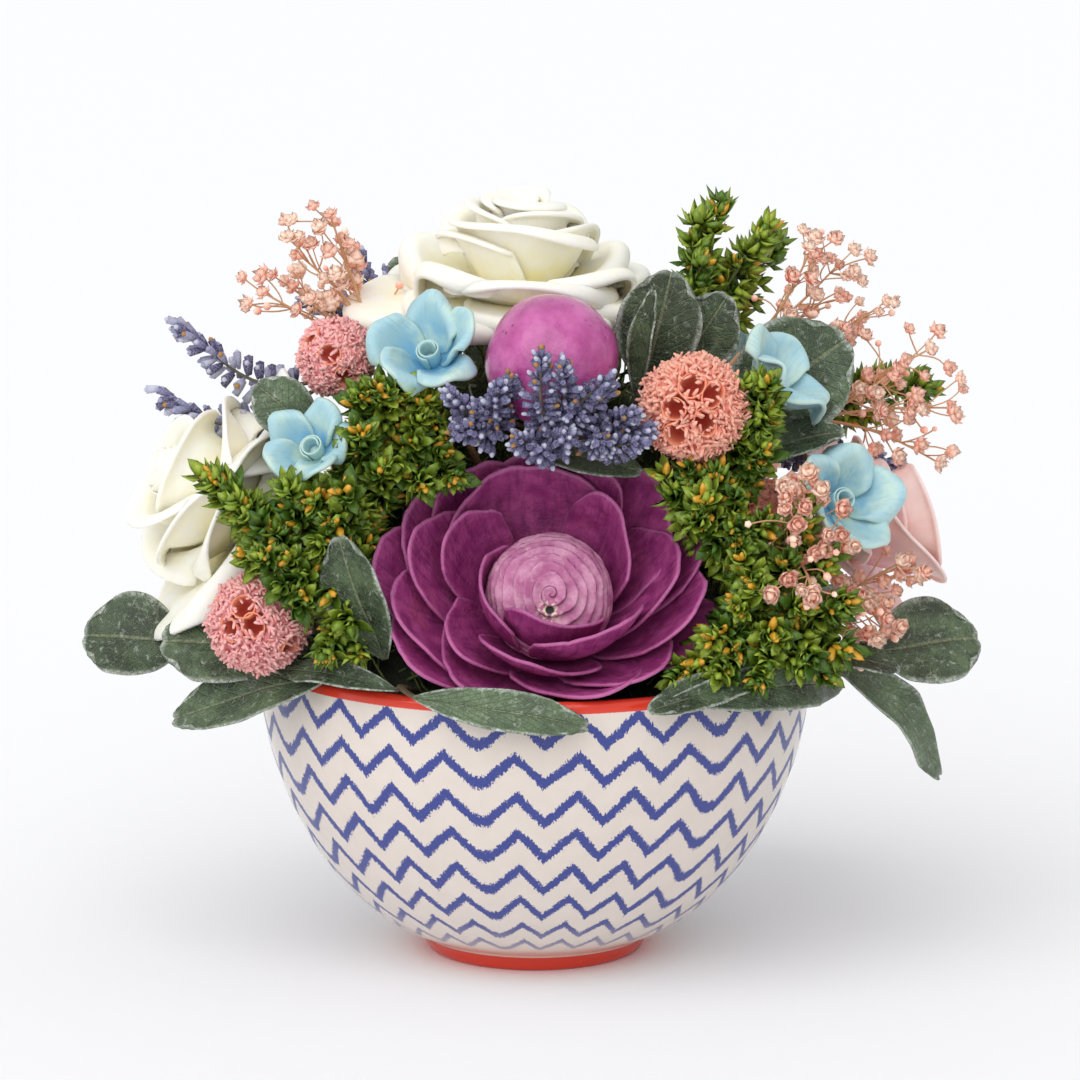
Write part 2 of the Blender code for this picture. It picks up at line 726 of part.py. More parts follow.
purple_flower("purple_flower", PURPLE_BASE, PURPLE_AXIS, PURPLE)
rose(
    "white_rose_top",
    (-5, 10, 178),
    (0.02, -0.12, 1.0),
    45,
    CREAM,
    spin=-54,
    reach=(0.85, 1.0, 1.0, 1.0, 0.68),
)
rose("white_rose_left", (-75, 0, 121), (-0.86, -0.20, 0.44), 39, CREAM, spin=40)
rose("pink_rose_right", (79, 8, 112), (0.86, -0.16, 0.36), 31, PINK, spin=0)
rose("pink_rose_back", (-8, 48, 118), (-0.08, 0.76, 0.64), 38, PINK, spin=25)
purple_ball("purple_ball", (4.5, -39, 168.0), 17.7, ORCHID)
blue_flower("blue_flower_1", (-27, -31, 166), (-0.15, -0.72, 0.64), 17, BLUE, spin=20)
blue_flower("blue_flower_2", (-57, -38, 143), (-0.30, -0.75, 0.55), 13.0, BLUE, spin=10)
blue_flower("blue_flower_3", (60, -26, 157), (0.70, -0.25, 0.60), 17, BLUE, spin=30)
blue_flower("blue_flower_4", (79, -30, 128), (0.40, -0.80, 0.40), 17, BLUE, spin=0)
blue_flower("blue_flower_5", (46, 44, 152), (0.50, 0.60, 0.60), 17, BLUE, spin=0)
coral_head("coral_head_1", (-52.5, -24, 167), 11.3, CORAL, 1)
coral_head("coral_head_2", (-72.5, -48, 100), 14.4, CORAL, 2)
coral_head("coral_head_3", (41.2, -48, 157), 15.2, CORAL, 3)
coral_head("coral_head_4", (18, 46, 168), 13.0, CORAL, 4)
coral_head("coral_head_5", (64, 46, 110), 14.0, CORAL, 5)

leaf_sprig(
    "leaf_far_left",
    (-79, -16, 85.8),
    [((-97, -19, 86), (-121.5, -16, 84.5), 19, (0.05, -0.75, 0.65), 0.05, 0.1)],
    via=[(-58, -12, 84)],
)
leaf_sprig(
    "leaf_front_left",
    (-52, -42, 88),
    [
        ((-60, -33, 88), (-101, -28, 90), 19, (-0.1, -0.75, 0.65), 0.05, 0.10),
        ((-55, -53.5, 86.2), (-97, -36, 70.5), 14, (-0.35, -0.55, 0.75), 0.03, 0.12),
    ],
    via=[(-46, -36, 84)],
)
leaf_sprig(
    "leaf_front_rim",
    (-35, -68, 87),
    [((-31, -79, 84), (13, -80.5, 79), 8, (0.0, -0.95, 0.3), 0.03, 0.1)],
    via=[(-28, -50, 82)],
)
leaf_sprig(
    "leaf_beside_purple",
    (-42, -34, 96),
    [((-50, -39, 101), (-53, -51, 125), 11, (-0.7, -0.7, 0.1), 0.06, 0.15)],
)
leaf_sprig(
    "leaf_above_purple",
    (-6, -24, 143),
    [((-4, -28, 143.5), (17, -36, 142), 10, (0.1, -0.5, 0.85), 0.04, 0.10)],
)
leaf_sprig(
    "leaf_dark_top",
    (28, -20, 156),
    [
        ((29, -26, 160), (36, -32, 191), 22, (0.05, -0.95, 0.30), 0.05, 0.10),
        ((36, -23, 160), (51, -27, 184), 19, (0.15, -0.95, 0.30), 0.05, 0.10),
        ((26.5, -31, 158), (31, -41, 187), 6.5, (-0.3, -0.9, 0.2), 0.05, 0.45),
    ],
)
leaf_sprig(
    "leaf_big_right",
    (50, -8, 142),
    [((54, -7, 148), (84, -10, 170), 31, (0.1, -0.92, 0.35), 0.04, 0.08)],
)
leaf_sprig(
    "leaf_under_blue",
    (52, -24, 138),
    [((55, -28, 140), (82, -31, 148), 14, (0.1, -0.55, 0.8), 0.06, 0.10)],
)
leaf_sprig(
    "leaf_far_right",
    (77, -17, 86),
    [((86, -19, 86.5), (120.5, -10, 84.5), 21, (0.1, -0.6, 0.75), 0.03, 0.1)],
    via=[(56, -14, 84)],
)
leaf_sprig(
    "leaf_low_right",
    (70, -28, 88),
    [
        ((76, -28, 88), (110, -18, 51), 15, (0.30, -0.60, 0.70), 0.12, 0.15),
        ((74, -36, 88), (97, -38, 85), 12, (0.1, -0.40, 0.90), 0.08, 0.12),
    ],
    via=[(52, -22, 84)],
)
leaf_sprig(
    "leaf_right_rim",
    (56, -48, 87.5),
    [((60, -56, 87), (31, -76, 83), 11, (0.30, -0.55, 0.80), 0.04, 0.12)],
    via=[(40, -34, 82)],
)
leaf_sprig(
    "leaf_behind_blue",
    (-50, -27, 146),
    [((-58, -29, 147), (-74, -26, 160), 15, (-0.2, -0.9, 0.4), 0.05, 0.1)],
)
leaf_sprig(
    "leaf_back_left",
    (-62, 36, 89),
    [
        ((-66, 42, 88), (-88, 70, 80), 21, (-0.3, 0.3, 0.9), 0.08, 0.1),
        ((-66, 34, 90), (-104, 34, 92), 19, (-0.2, 0.2, 0.9), 0.08, 0.1),
    ],
    via=[(-46, 26, 84)],
)
leaf_sprig(
    "leaf_back_right",
    (60, 40, 88),
    [
        ((64, 48, 88), (80, 76, 78), 21, (0.3, 0.3, 0.9), 0.08, 0.1),
        ((66, 38, 88), (104, 36, 88), 20, (0.2, 0.2, 0.9), 0.08, 0.1),
    ],
    via=[(44, 28, 84)],
)
leaf_sprig(
    "leaf_back_rim",
    (8, 66, 87),
    [
        ((4, 70, 88), (-34, 77, 85), 15, (0.0, 0.5, 0.9), 0.05, 0.1),
        ((12, 70, 88), (42, 77, 85), 16, (0.0, 0.5, 0.9), 0.05, 0.1),
    ],
    via=[(6, 44, 82)],
)
leaf_sprig(
    "leaf_back_top",
    (-20, 30, 150),
    [
        ((-24, 36, 154), (-38, 48, 186), 24, (-0.3, 0.9, 0.3), 0.05, 0.1),
        ((-16, 38, 154), (-8, 56, 180), 18, (0.0, 0.9, 0.3), 0.05, 0.1),
    ],
)

gypsophila(
    "gypsophila_front_right",
    (66, -34, 122),
    [(68, -54, 136), (76, -56, 124), (72, -62, 112), (68, -60, 128)],
    34,
)
gypsophila(
    "gypsophila_low_right",
    (78, -22, 100),
    [(92, -32, 98), (97, -32, 113), (88, -40, 95), (86, -42, 106)],
    35,
)
gypsophila(
    "gypsophila_top_left",
    (-42, 2, 164),
    [(-55, 0, 202), (-73, 0, 181), (-63, 0, 191), (-50, 6, 188), (-68, 14, 182)],
    31,
)
gypsophila(
    "gypsophila_top_right",
    (56, 6, 164),
    [(82, 5, 188), (75, -6, 196), (95, 5, 178), (80, 12, 176)],
    32,
)
gypsophila(
    "gypsophila_right",
    (74, 4, 146),
    [(107, 5, 165), (113, 5, 149), (110, 5, 134), (98, 2, 160)],
    33,
)
gypsophila(
    "gypsophila_back",
    (38, 46, 126),
    [(46, 68, 146), (58, 64, 136), (38, 76, 132), (60, 62, 124)],
    36,
)

spiked_spray(
    "green_left_tall",
    GREEN,
    (-38, -19, 141),
    [(-39, -45, 160), (-30, -42, 153), (-24, -42, 144)],
    11,
    GREEN_KIND,
)
spiked_spray(
    "green_left_low",
    GREEN,
    (-58, -34, 108),
    [(-79, -50, 133), (-64, -54, 136), (-70, -62, 120)],
    12,
    GREEN_KIND,
)
spiked_spray(
    "green_right_tall",
    GREEN,
    (50, -30, 131),
    [(50, -45, 136), (56, -46, 144), (60, -51, 163)],
    13,
    GREEN_KIND,
)
spiked_spray(
    "green_left_mid",
    GREEN,
    (-44, -24, 122),
    [(-45, -52, 151), (-49, -56, 136), (-40, -50, 141)],
    19,
    GREEN_KIND,
)
spiked_spray("green_right_mid", GREEN, (54, -32, 112), [(57, -58, 113), (52, -54, 126)], 20, GREEN_KIND)
spiked_spray(
    "green_right_low",
    GREEN,
    (62, -34, 100),
    [(78, -52, 104), (61, -59, 99), (72, -61, 93)],
    14,
    GREEN_KIND,
)
spiked_spray(
    "green_top_right",
    GREEN,
    (40, 12, 160),
    [(50.8, 12, 204), (63, 12, 197), (45, 4, 188), (66, 22, 192)],
    15,
    GREEN_KIND,
    bare=0.45,
)
spiked_spray("green_right", GREEN, (74, 18, 144), [(108, 20, 152), (94, 14, 156)], 16, GREEN_KIND)
spiked_spray(
    "green_back_left",
    GREEN,
    (-36, 36, 110),
    [(-54, 54, 134), (-58, 60, 118), (-54, 66, 104), (-66, 48, 106)],
    17,
    GREEN_KIND,
)
spiked_spray("green_back_right", GREEN, (32, 44, 104), [(28, 74, 104), (48, 62, 104)], 18, GREEN_KIND)

spiked_spray(
    "lavender_front_left",
    LILAC,
    (-10, -44, 149),
    [(-21, -57, 161), (-18, -58, 150), (-9, -61, 164)],
    21,
    LAVENDER_KIND,
    via=[(-8, -26, 150)],
    aim=(-2, -4, 132),
)
spiked_spray(
    "lavender_front",
    LILAC,
    (4, -50, 147.5),
    [(2, -66, 172), (-4, -64, 148), (8, -66, 148), (18, -64, 166)],
    22,
    LAVENDER_KIND,
    via=[(1, -28, 149)],
    aim=(0, -4, 132),
)
spiked_spray(
    "lavender_front_right",
    LILAC,
    (14, -46, 149),
    [(25, -60, 157), (27, -61, 147), (17, -61, 145)],
    23,
    LAVENDER_KIND,
    via=[(10, -26, 150)],
    aim=(3, -4, 132),
)
spiked_spray("lavender_left", LILAC, (-54, 8, 158), [(-95, 3, 172), (-101, 8, 154)], 24, LAVENDER_KIND)
spiked_spray("lavender_right", LILAC, (58, 34, 138), [(101, 30, 129), (94, 42, 122)], 25, LAVENDER_KIND)
spiked_spray(
    "lavender_back",
    LILAC,
    (-34, 28, 160),
    [(-48, 36, 186), (-58, 44, 172), (-62, 30, 174)],
    26,
    LAVENDER_KIND,
)

boolean(foam, [new_object("hole", hole, FOAM) for hole in holes], "DIFFERENCE", "MANIFOLD")

for obj in bpy.context.scene.objects:
    obj.data.shade_smooth()
    obj.data.set_sharp_from_angle(angle=math.radians(35))
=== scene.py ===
# %% [markdown]
# # Dried flowers in a patterned bowl
#
# The imported model holds every flower, leaf and spray as a plain faceted solid. This lesson keeps their
# places and sizes and works out a finer surface for each of them: petals with rolled lips, a bowl with a
# painted zigzag, crumbly seed heads, buds and bracts. Each step first says what the real thing is, and a
# helper is defined where it is first needed. Floor, light and camera come last.

# %% Load the model
import math

import bpy
import numpy as np
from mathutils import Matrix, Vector


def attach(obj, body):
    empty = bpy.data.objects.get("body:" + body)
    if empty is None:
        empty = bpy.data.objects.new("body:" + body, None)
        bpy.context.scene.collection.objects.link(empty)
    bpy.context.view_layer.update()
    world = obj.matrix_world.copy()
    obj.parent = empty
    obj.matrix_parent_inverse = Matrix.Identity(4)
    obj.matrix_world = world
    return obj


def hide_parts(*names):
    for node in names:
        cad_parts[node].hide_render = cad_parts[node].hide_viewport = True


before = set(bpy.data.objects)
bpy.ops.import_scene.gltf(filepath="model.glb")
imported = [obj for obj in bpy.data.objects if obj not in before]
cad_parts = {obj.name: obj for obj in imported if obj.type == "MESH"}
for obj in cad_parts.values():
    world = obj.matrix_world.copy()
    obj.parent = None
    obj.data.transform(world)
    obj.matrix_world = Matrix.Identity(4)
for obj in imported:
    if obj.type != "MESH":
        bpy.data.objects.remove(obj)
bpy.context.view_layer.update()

MM = 0.001
print("nodes to dress:", len(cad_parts))

# %% [markdown]
# ## Bodies as arrays
#
# A bowl, a bud or a petal is a set of points with faces between them. Blender could build each from its
# primitives and modifiers, but an array of points can follow a formula, and the many closed bodies of one
# flower become one mesh. A shape collects them, with a UV pair that says how far across and along its
# surface each point lies, and a tone by which a finish tells the bodies apart. Every length is in
# millimetres, and becomes metres only where a mesh is filled.

# %% A shape in the making


def unit(vectors):
    """Each vector divided by its length."""
    return vectors / np.maximum(np.linalg.norm(vectors, axis=-1, keepdims=True), 1e-9)


class Shape:
    """Closed bodies in the making: points, faces, a UV pair and a tone for every point."""

    def __init__(self):
        self.points, self.faces, self.uv, self.tone = [], [], [], []
        self.count = 0

    def add(self, points, faces, uv, tone=0.0):
        """Takes one more body. faces is a list of arrays, each of quads or of triangles."""
        points = np.asarray(points, float).reshape(-1, 3)
        self.points.append(points)
        self.faces += [block + self.count for block in faces]
        self.uv.append(np.asarray(uv, float).reshape(-1, 2))
        self.tone.append(np.broadcast_to(np.asarray(tone, float), (len(points),)))
        self.count += len(points)
        return self

    def moved(self, base, turn):
        """The same bodies, turned and stood on a base."""
        self.points = [points @ turn.T + np.asarray(base, float) for points in self.points]
        return self

    def join(self, other):
        """Takes all bodies of another shape, whose faces count on from this one's points."""
        self.faces += [block + self.count for block in other.faces]
        self.points += other.points
        self.uv += other.uv
        self.tone += other.tone
        self.count += other.count
        return self


print("an empty shape has", Shape().count, "points")

# %% Turned bodies


def barrel_faces(rows, sides):
    """The faces between rings of points, one above another, with a pole at each end.

    The points are numbered ring by ring, and then come the first pole and the last. Beside point k of a
    ring lies k + 1, and above it the point that is sides further on.
    """
    k = np.arange(sides)
    after = (k + 1) % sides
    low = np.arange(rows - 1)[:, None] * sides
    quads = np.stack([low + k, low + after, low + sides + after, low + sides + k], -1).reshape(-1, 4)
    top = (rows - 1) * sides
    first, last = np.full(sides, rows * sides), np.full(sides, rows * sides + 1)
    return [quads, np.stack([after, k, first], 1), np.stack([top + k, top + after, last], 1)]


def barrel_uv(rows, sides):
    """The UV pairs of the same points: the share of the turn, and of the way from pole to pole."""
    grid = np.meshgrid(np.arange(sides) / sides, np.linspace(0, 1, rows))
    return np.concatenate([np.stack(grid, -1).reshape(-1, 2), [[0, 0], [0, 1]]])


def turned(profile, sides, tone=0.0, shift=None):
    """A profile of (radius, height) turned about +Z. Its first and last points lie on the axis.

    Each point becomes a ring of r cos a, r sin a at its height. shift takes all points and gives how far
    each one moves.
    """
    profile = np.asarray(profile, float)
    angle = np.arange(sides) * math.tau / sides
    body = profile[1:-1, None, :1] * np.stack([np.cos(angle), np.sin(angle)], -1)
    height = np.broadcast_to(profile[1:-1, None, 1:], (*body.shape[:2], 1))
    points = np.concatenate([body, height], -1).reshape(-1, 3)
    points = np.concatenate([points, [[0, 0, profile[0, 1]], [0, 0, profile[-1, 1]]]])
    if shift is not None:
        points = points + shift(points)
    rows = len(profile) - 2
    return Shape().add(points, barrel_faces(rows, sides), barrel_uv(rows, sides), tone)


print("a spindle of three rings with six sides has", sum(map(len, barrel_faces(3, 6))), "faces")

# %% A smooth line through points


def smooth_line(points, count):
    """A cubic curve through the points, read at even steps of its chord length."""
    points = np.asarray(points, float)
    chord = np.concatenate([[0], np.cumsum(np.linalg.norm(np.diff(points, axis=0), axis=1))])
    slope = np.gradient(points, chord, axis=0)
    at = np.linspace(0, chord[-1], count)
    left = np.clip(np.searchsorted(chord, at, side="right") - 1, 0, len(points) - 2)
    gap = (chord[left + 1] - chord[left])[:, None]
    x = (at - chord[left])[:, None] / gap
    start, end = points[left], points[left + 1]
    pull, push = slope[left] * gap, slope[left + 1] * gap
    return (
        start * (2 * x**3 - 3 * x**2 + 1)
        + pull * (x**3 - 2 * x**2 + x)
        + end * (3 * x**2 - 2 * x**3)
        + push * (x**3 - x**2)
    )


print("the line through three points bends at", smooth_line([(0, 0), (1, 0), (1, 1)], 3)[1])

# %% Into Blender
triangles = {}


def add_piece(name, shape, finish, *nodes):
    """One object at the origin from a shape. It stands for the CAD nodes that are named."""
    mesh = bpy.data.meshes.new(name)
    corners = np.concatenate([block.ravel() for block in shape.faces])
    totals = np.concatenate([np.full(len(block), block.shape[1]) for block in shape.faces])
    mesh.vertices.add(shape.count)
    mesh.vertices.foreach_set("co", (np.concatenate(shape.points) * MM).ravel())
    mesh.loops.add(len(corners))
    mesh.loops.foreach_set("vertex_index", corners.astype(np.int32))
    mesh.polygons.add(len(totals))
    mesh.polygons.foreach_set("loop_start", (np.cumsum(totals) - totals).astype(np.int32))
    mesh.update(calc_edges=True)
    mesh.uv_layers.new(name="along").data.foreach_set("uv", np.concatenate(shape.uv)[corners].ravel())
    mesh.attributes.new("tone", "FLOAT", "POINT").data.foreach_set("value", np.concatenate(shape.tone))
    mesh.shade_smooth()
    mesh.materials.append(finish.material)
    piece = bpy.data.objects.new(name, mesh)
    bpy.context.scene.collection.objects.link(piece)
    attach(piece, "root")
    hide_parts(*nodes)
    triangles[name] = int((totals - 2).sum())
    print(name, "has", triangles[name], "triangles")


# %% [markdown]
# ## Finishes as expressions
#
# A finish is a node tree, and its masks are sums and products of numbers that vary over the surface. Such
# a tree could be drawn by hand in the shader editor, but a formula is shorter to read. So a small class
# wraps a socket, and arithmetic on it adds Math nodes. Every other node comes from one method.

# %% Shader maths


def one_node(operation, swapped=False):
    """A method that adds a Math node of its wire and the other values. swapped puts the wire last."""

    def method(wire, *others):
        values = (*others, wire) if swapped else (wire, *others)
        return wire.finish.node("ShaderNodeMath", {"operation": operation}, dict(enumerate(values)))

    return method


class Wire:
    """A node's output that can stand in an arithmetic expression."""

    def __init__(self, finish, socket):
        self.finish, self.socket = finish, socket

    __add__ = __radd__ = one_node("ADD")
    __mul__ = __rmul__ = one_node("MULTIPLY")
    __sub__, __rsub__ = one_node("SUBTRACT"), one_node("SUBTRACT", swapped=True)
    __pow__, __abs__ = one_node("POWER"), one_node("ABSOLUTE")
    fract, larger, arctan2 = one_node("FRACT"), one_node("MAXIMUM"), one_node("ARCTAN2")

    def over(self, low, high):
        """Rises smoothly from 0 at low to 1 at high."""
        settings = {"interpolation_type": "SMOOTHSTEP"}
        return self.finish.node("ShaderNodeMapRange", settings, {0: self, 1: low, 2: high})


def srgb(red, green, blue):
    """A colour read off the photograph, 0 to 255, as the linear values that a shader takes."""
    value = np.array([red, green, blue]) / 255
    return tuple(np.where(value <= 0.04045, value / 12.92, ((value + 0.055) / 1.055) ** 2.4).tolist())


print("a middle grey of 128 is", round(srgb(128, 128, 128)[0], 3), "in linear light")

# %% A finish and its nodes


class Finish:
    """A material, and the methods that add its nodes. Its slot is kept but not used."""

    def __init__(self, name, slot, **constants):
        self.slot = slot
        self.material = bpy.data.materials.new(name)
        self.material.use_nodes = True
        self.tree = self.material.node_tree
        self.shader = self.tree.nodes["Principled BSDF"]
        for key, value in constants.items():
            self.shader.inputs[key.replace("_", " ").title().replace("Ior", "IOR")].default_value = value

    def node(self, kind, settings=(), sockets=(), out=0):
        """Adds a node, makes its settings, then sets or links its sockets, and gives one output."""
        node = self.tree.nodes.new(kind)
        for key, value in dict(settings).items():
            if key != "stops":
                setattr(node, key, value)
                continue
            ramp = node.color_ramp.elements
            while len(ramp) < len(value):
                ramp.new(0.5)
            for element, (position, grey) in zip(ramp, value):
                element.position = position
                element.color = (grey, grey, grey, 1.0)
        for key, value in dict(sockets).items():
            if isinstance(value, Wire):
                self.tree.links.new(value.socket, node.inputs[key])
            else:
                node.inputs[key].default_value = value
        return Wire(self, node.outputs[out])

    def place(self):
        """Object coordinates in millimetres."""
        place = self.node("ShaderNodeTexCoord", out="Object")
        return self.node("ShaderNodeVectorMath", {"operation": "SCALE"}, {0: place, "Scale": 1 / MM})

    def parts(self, vector):
        """The three numbers of a vector."""
        split = self.node("ShaderNodeSeparateXYZ", (), {0: vector}).socket.node
        return [Wire(self, socket) for socket in split.outputs]

    def vector(self, *numbers):
        """A vector of three numbers."""
        return self.node("ShaderNodeCombineXYZ", (), dict(enumerate(numbers)))

    def way(self):
        """The place across and along, from the UV map."""
        across, along, _ = self.parts(self.node("ShaderNodeUVMap", {"uv_map": "along"}))
        return across, along

    def tone(self):
        """The tone that its shape gave to each point."""
        return self.node("ShaderNodeAttribute", {"attribute_name": "tone"}, out="Fac")

    def noise(self, vector, size, detail=2.0, roughness=0.5, distortion=0.0):
        """Noise between about 0 and 1, with features of the given size in millimetres."""
        sockets = {"Vector": vector, "Scale": 1.0 / size, "Detail": detail, "Roughness": roughness}
        return self.node("ShaderNodeTexNoise", (), {**sockets, "Distortion": distortion})

    def cells(self, vector, size, feature="F1"):
        """The distance to the nearest of scattered points, or to the edge between their cells."""
        sockets = {"Vector": vector, "Scale": 1.0 / size}
        return self.node("ShaderNodeTexVoronoi", {"feature": feature}, sockets, "Distance")

    def stretched(self, vector, factors):
        """The place divided along each axis, which draws a pattern out by that factor."""
        shares = tuple(1.0 / factor for factor in factors)
        return self.node("ShaderNodeVectorMath", {"operation": "MULTIPLY"}, {0: vector, 1: shares})

    def mix(self, mask, low, high):
        """A colour that goes from low to high as the mask goes from 0 to 1."""
        low, high = (value if isinstance(value, Wire) else (*srgb(*value), 1.0) for value in (low, high))
        return self.node("ShaderNodeMix", {"data_type": "RGBA"}, {0: mask, 6: low, 7: high}, 2)

    def coats(self, colour, *layers):
        """A colour under more layers, each of them a mask and a colour."""
        for mask, layer in layers:
            colour = self.mix(mask, colour, layer)
        return colour

    def apply(self, colour, height, depth, roughness=None):
        """Links the colour, a height in units of depth, in millimetres, and a roughness that varies."""
        bump = self.node("ShaderNodeBump", (), {"Height": height, "Distance": depth * MM})
        for key, wire in {"Base Color": colour, "Normal": bump, "Roughness": roughness}.items():
            if wire is not None:
                self.tree.links.new(wire.socket, self.shader.inputs[key])
        print(self.material.name, "has", len(self.tree.nodes), "nodes")


# %% [markdown]
# ## The bowl
#
# The bowl is thrown stoneware, round in plan, with a foot ring and a rounded rim. It could be made with
# Blender's Spin tool, but here its profile is a list of points, smoothed and turned about the axis, so
# that the wall, the foot and the rim are one closed body.

# %% The body of the bowl
BOWL_SIDES = 192
FOOT = [(0, 2), (22.5, 2.0), (24.2, 1.6), (24.8, 0.5), (25.4, 0.0), (28.9, 0.0), (29.7, 0.5), (30.5, 2.0)]
OUTSIDE = [
    (31.6, 4.5), (40.6, 9), (49.2, 16), (57.2, 25), (64.1, 36), (69.5, 48), (73.2, 60), (75.05, 72),
    (75.2, 82.4),
]
RIM = [(74.9, 83.3), (74.2, 83.9), (73.2, 84.0), (72.2, 83.9), (71.5, 83.3), (71.2, 82.4)]
INSIDE = [(71.2, 72), (69.2, 60), (65.4, 48), (59.6, 36), (52, 25.5), (43, 17), (33, 10.5), (20, 8.6)]

outer, inner = smooth_line(OUTSIDE, 60), smooth_line(INSIDE, 16)
bowl_body = turned([*FOOT, *outer, *RIM, *inner, (0, 8.5)], BOWL_SIDES)
print("the bowl is", 2 * outer[:, 0].max().round(1), "mm wide")

# %% [markdown]
# ### The zigzag
#
# Eight rows of a zigzag are drawn round the white glaze as if with a dry crayon, and a red band is painted
# at the rim and the foot. Raised strokes could be modelled, but paint has no thickness, so the zigzag is a
# mask in the finish. Each point of the bowl knows in its tone which row it lies in, and the angle about
# the axis says how high the zigzag stands there. Noise wears the stroke's edges.

# %% The row of the zigzag at each point
PEAKS = [12.7, 19.0, 27.8, 37.7, 48.3, 59.0, 69.6, 80.0]
VALLEYS = [9.3, 14.7, 21.8, 30.5, 40.7, 51.2, 62.3, 72.8]
NO_ROW = -9.0
# A valley stands at its row's number less 0.35 and a peak at 0.35 more, and the ends carry the line on.
heights = [-10.0, *(value for pair in zip(VALLEYS, PEAKS) for value in pair), 90.4]
row_numbers = [-5.175, *(row + side for row in range(8) for side in (-0.35, 0.35)), 8.35]
ring_numbers = np.arange(bowl_body.count) // BOWL_SIDES
on_inside = ring_numbers > len(FOOT) + len(outer) + 1
rows_here = np.interp(bowl_body.points[0][:, 2], heights, row_numbers)
bowl_body.tone = [np.where(on_inside, NO_ROW, rows_here)]
print("rows of zigzag:", len(PEAKS))

# %% Glaze with the crayon zigzag
MOTIFS = 7
# Over one motif of four peaks, 0 is the lowest point of the line and 1 the highest.
MOTIF_STOPS = [
    (0, 0.02), (0.035, 0.08), (0.152, 1), (0.261, 0), (0.398, 1), (0.502, 0), (0.631, 1), (0.735, 0),
    (0.866, 1), (0.97, 0.1), (1, 0.02),
]
CRAYON, RED_BAND = (50, 63, 138), (214, 58, 38)

glaze = Finish("glaze_crayon_zigzag", "bowl_glaze", roughness=0.16)
place = glaze.place()
x, y, z = glaze.parts(place)
row = glaze.tone()
turn = x.arctan2(0 - y)
wobble = glaze.noise(place, 9.0, 1.0) - 0.5
share = (turn * (MOTIFS / math.tau) + (7.0 + 11.5 / 360 * MOTIFS) + wobble * 0.03).fract()
zigzag = glaze.node("ShaderNodeValToRGB", {"stops": MOTIF_STOPS}, {0: share}, "Color")
off_line = (row - (zigzag * 0.7 - 0.35) + 0.5).fract() - 0.5
grain = glaze.noise(place, 0.7, 2.0, 0.7) - 0.5
streaks = glaze.noise(glaze.stretched(place, (0.6, 0.6, 2.5)), 0.6, 1.0) - 0.5
edge = 0.155 + grain * 0.24 + streaks * 0.20
stroke = 1 - abs(off_line).over(edge - 0.02, edge + 0.02)
stroke = stroke * row.over(-0.52, -0.48) * (1 - row.over(7.5, 7.52))
faint = 1 - row.over(-0.6, 1.6)
dry = glaze.noise(place, 0.25, 3.0, 0.8).over(0.30, 0.42)
blush = (1 - z.over(4.5, 11.0)) * 0.45
red = z.over(80.9 + grain * 0.3, 81.2 + grain * 0.3).larger(1 - z.over(4.1, 4.4))
body = glaze.coats(
    glaze.mix(glaze.noise(place, 6.0, 4.0), (214, 202, 192), (224, 214, 205)),
    (blush, (226, 178, 160)),
    (stroke * (1 - faint * 0.45) * (dry * 0.25 + 0.75), CRAYON),
    (red, RED_BAND),
)
glaze.apply(body, glaze.noise(place, 12.0, 2.0), 0.25, stroke * 0.18 + 0.16)
add_piece("bowl_turned", bowl_body, glaze, "bowl")

# %% [markdown]
# ## Foam under moss
#
# The stems stand in a block of dry foam. No one sees it: dark moss is tucked over it, and between the
# flowers there is only shade. Sculpting would do, but a turned profile whose points are pushed outwards by
# a noise gives the same soft lumps. The moss is flattened where the purple flower sits on it.

# %% Soft steps and soft noise


def smoothstep(low, high, value):
    """Rises from 0 to 1 between low and high, level at both ends: x squared times (3 - 2 x)."""
    x = np.clip((value - low) / (high - low), 0, 1)
    return x * x * (3 - 2 * x)


def value_noise(points, size, seed=0):
    """Soft noise between -1 and 1: random values on a lattice of the given size, blended between."""
    points = np.asarray(points, float) / size
    base = np.floor(points).astype(np.int64)
    x = points - base
    x = x * x * (3 - 2 * x)
    total = 0.0
    for corner in np.ndindex(2, 2, 2):
        cell = base + np.array(corner)
        number = cell[..., 0] * 73856093 ^ cell[..., 1] * 19349663 ^ cell[..., 2] * 83492791 ^ seed * 2654435
        number = (number ^ (number >> 13)) * 1274126177 & 0x7FFFFFFF
        weight = np.prod(np.where(np.array(corner) == 1, x, 1 - x), axis=-1)
        total = total + weight * (number / 0x3FFFFFFF - 1)
    return total


print("the noise at three points:", value_noise([(0, 0, 0), (3, 2, 1), (9, 9, 9)], 4.0).round(2))

# %% The mound of foam
FOAM_HEART = np.array([0.0, 2.0, 108.0])
PURPLE_BASE, PURPLE_AXIS = np.array([3.4, -35.8, 98.6]), unit(np.array([0.03, -0.707, 0.707]))
FOAM_INSIDE = [
    (0, 9.2), (30, 9.4), (40, 14.5), (48, 22), (56, 32), (62, 44), (66.2, 58), (68.8, 68), (70.2, 78),
]
MOUND = [
    (67.5, 81.5), (61, 88), (56.5, 100), (53, 116), (47, 130), (39, 143), (27, 153.5), (12, 160.5),
    (0.2, 162),
]


def hummocks(points):
    """How far each foam point moves: outwards by a noise of two sizes, with deeper cushions behind."""
    cushions = 1 + 1.6 * smoothstep(-5, 25, points[:, 1])
    lift = value_noise(points, 9.0, 1) * 1.2 * cushions + value_noise(points, 2.4, 2) * 0.5 * cushions
    return unit(points - [0, 0, 80]) * lift[:, None]


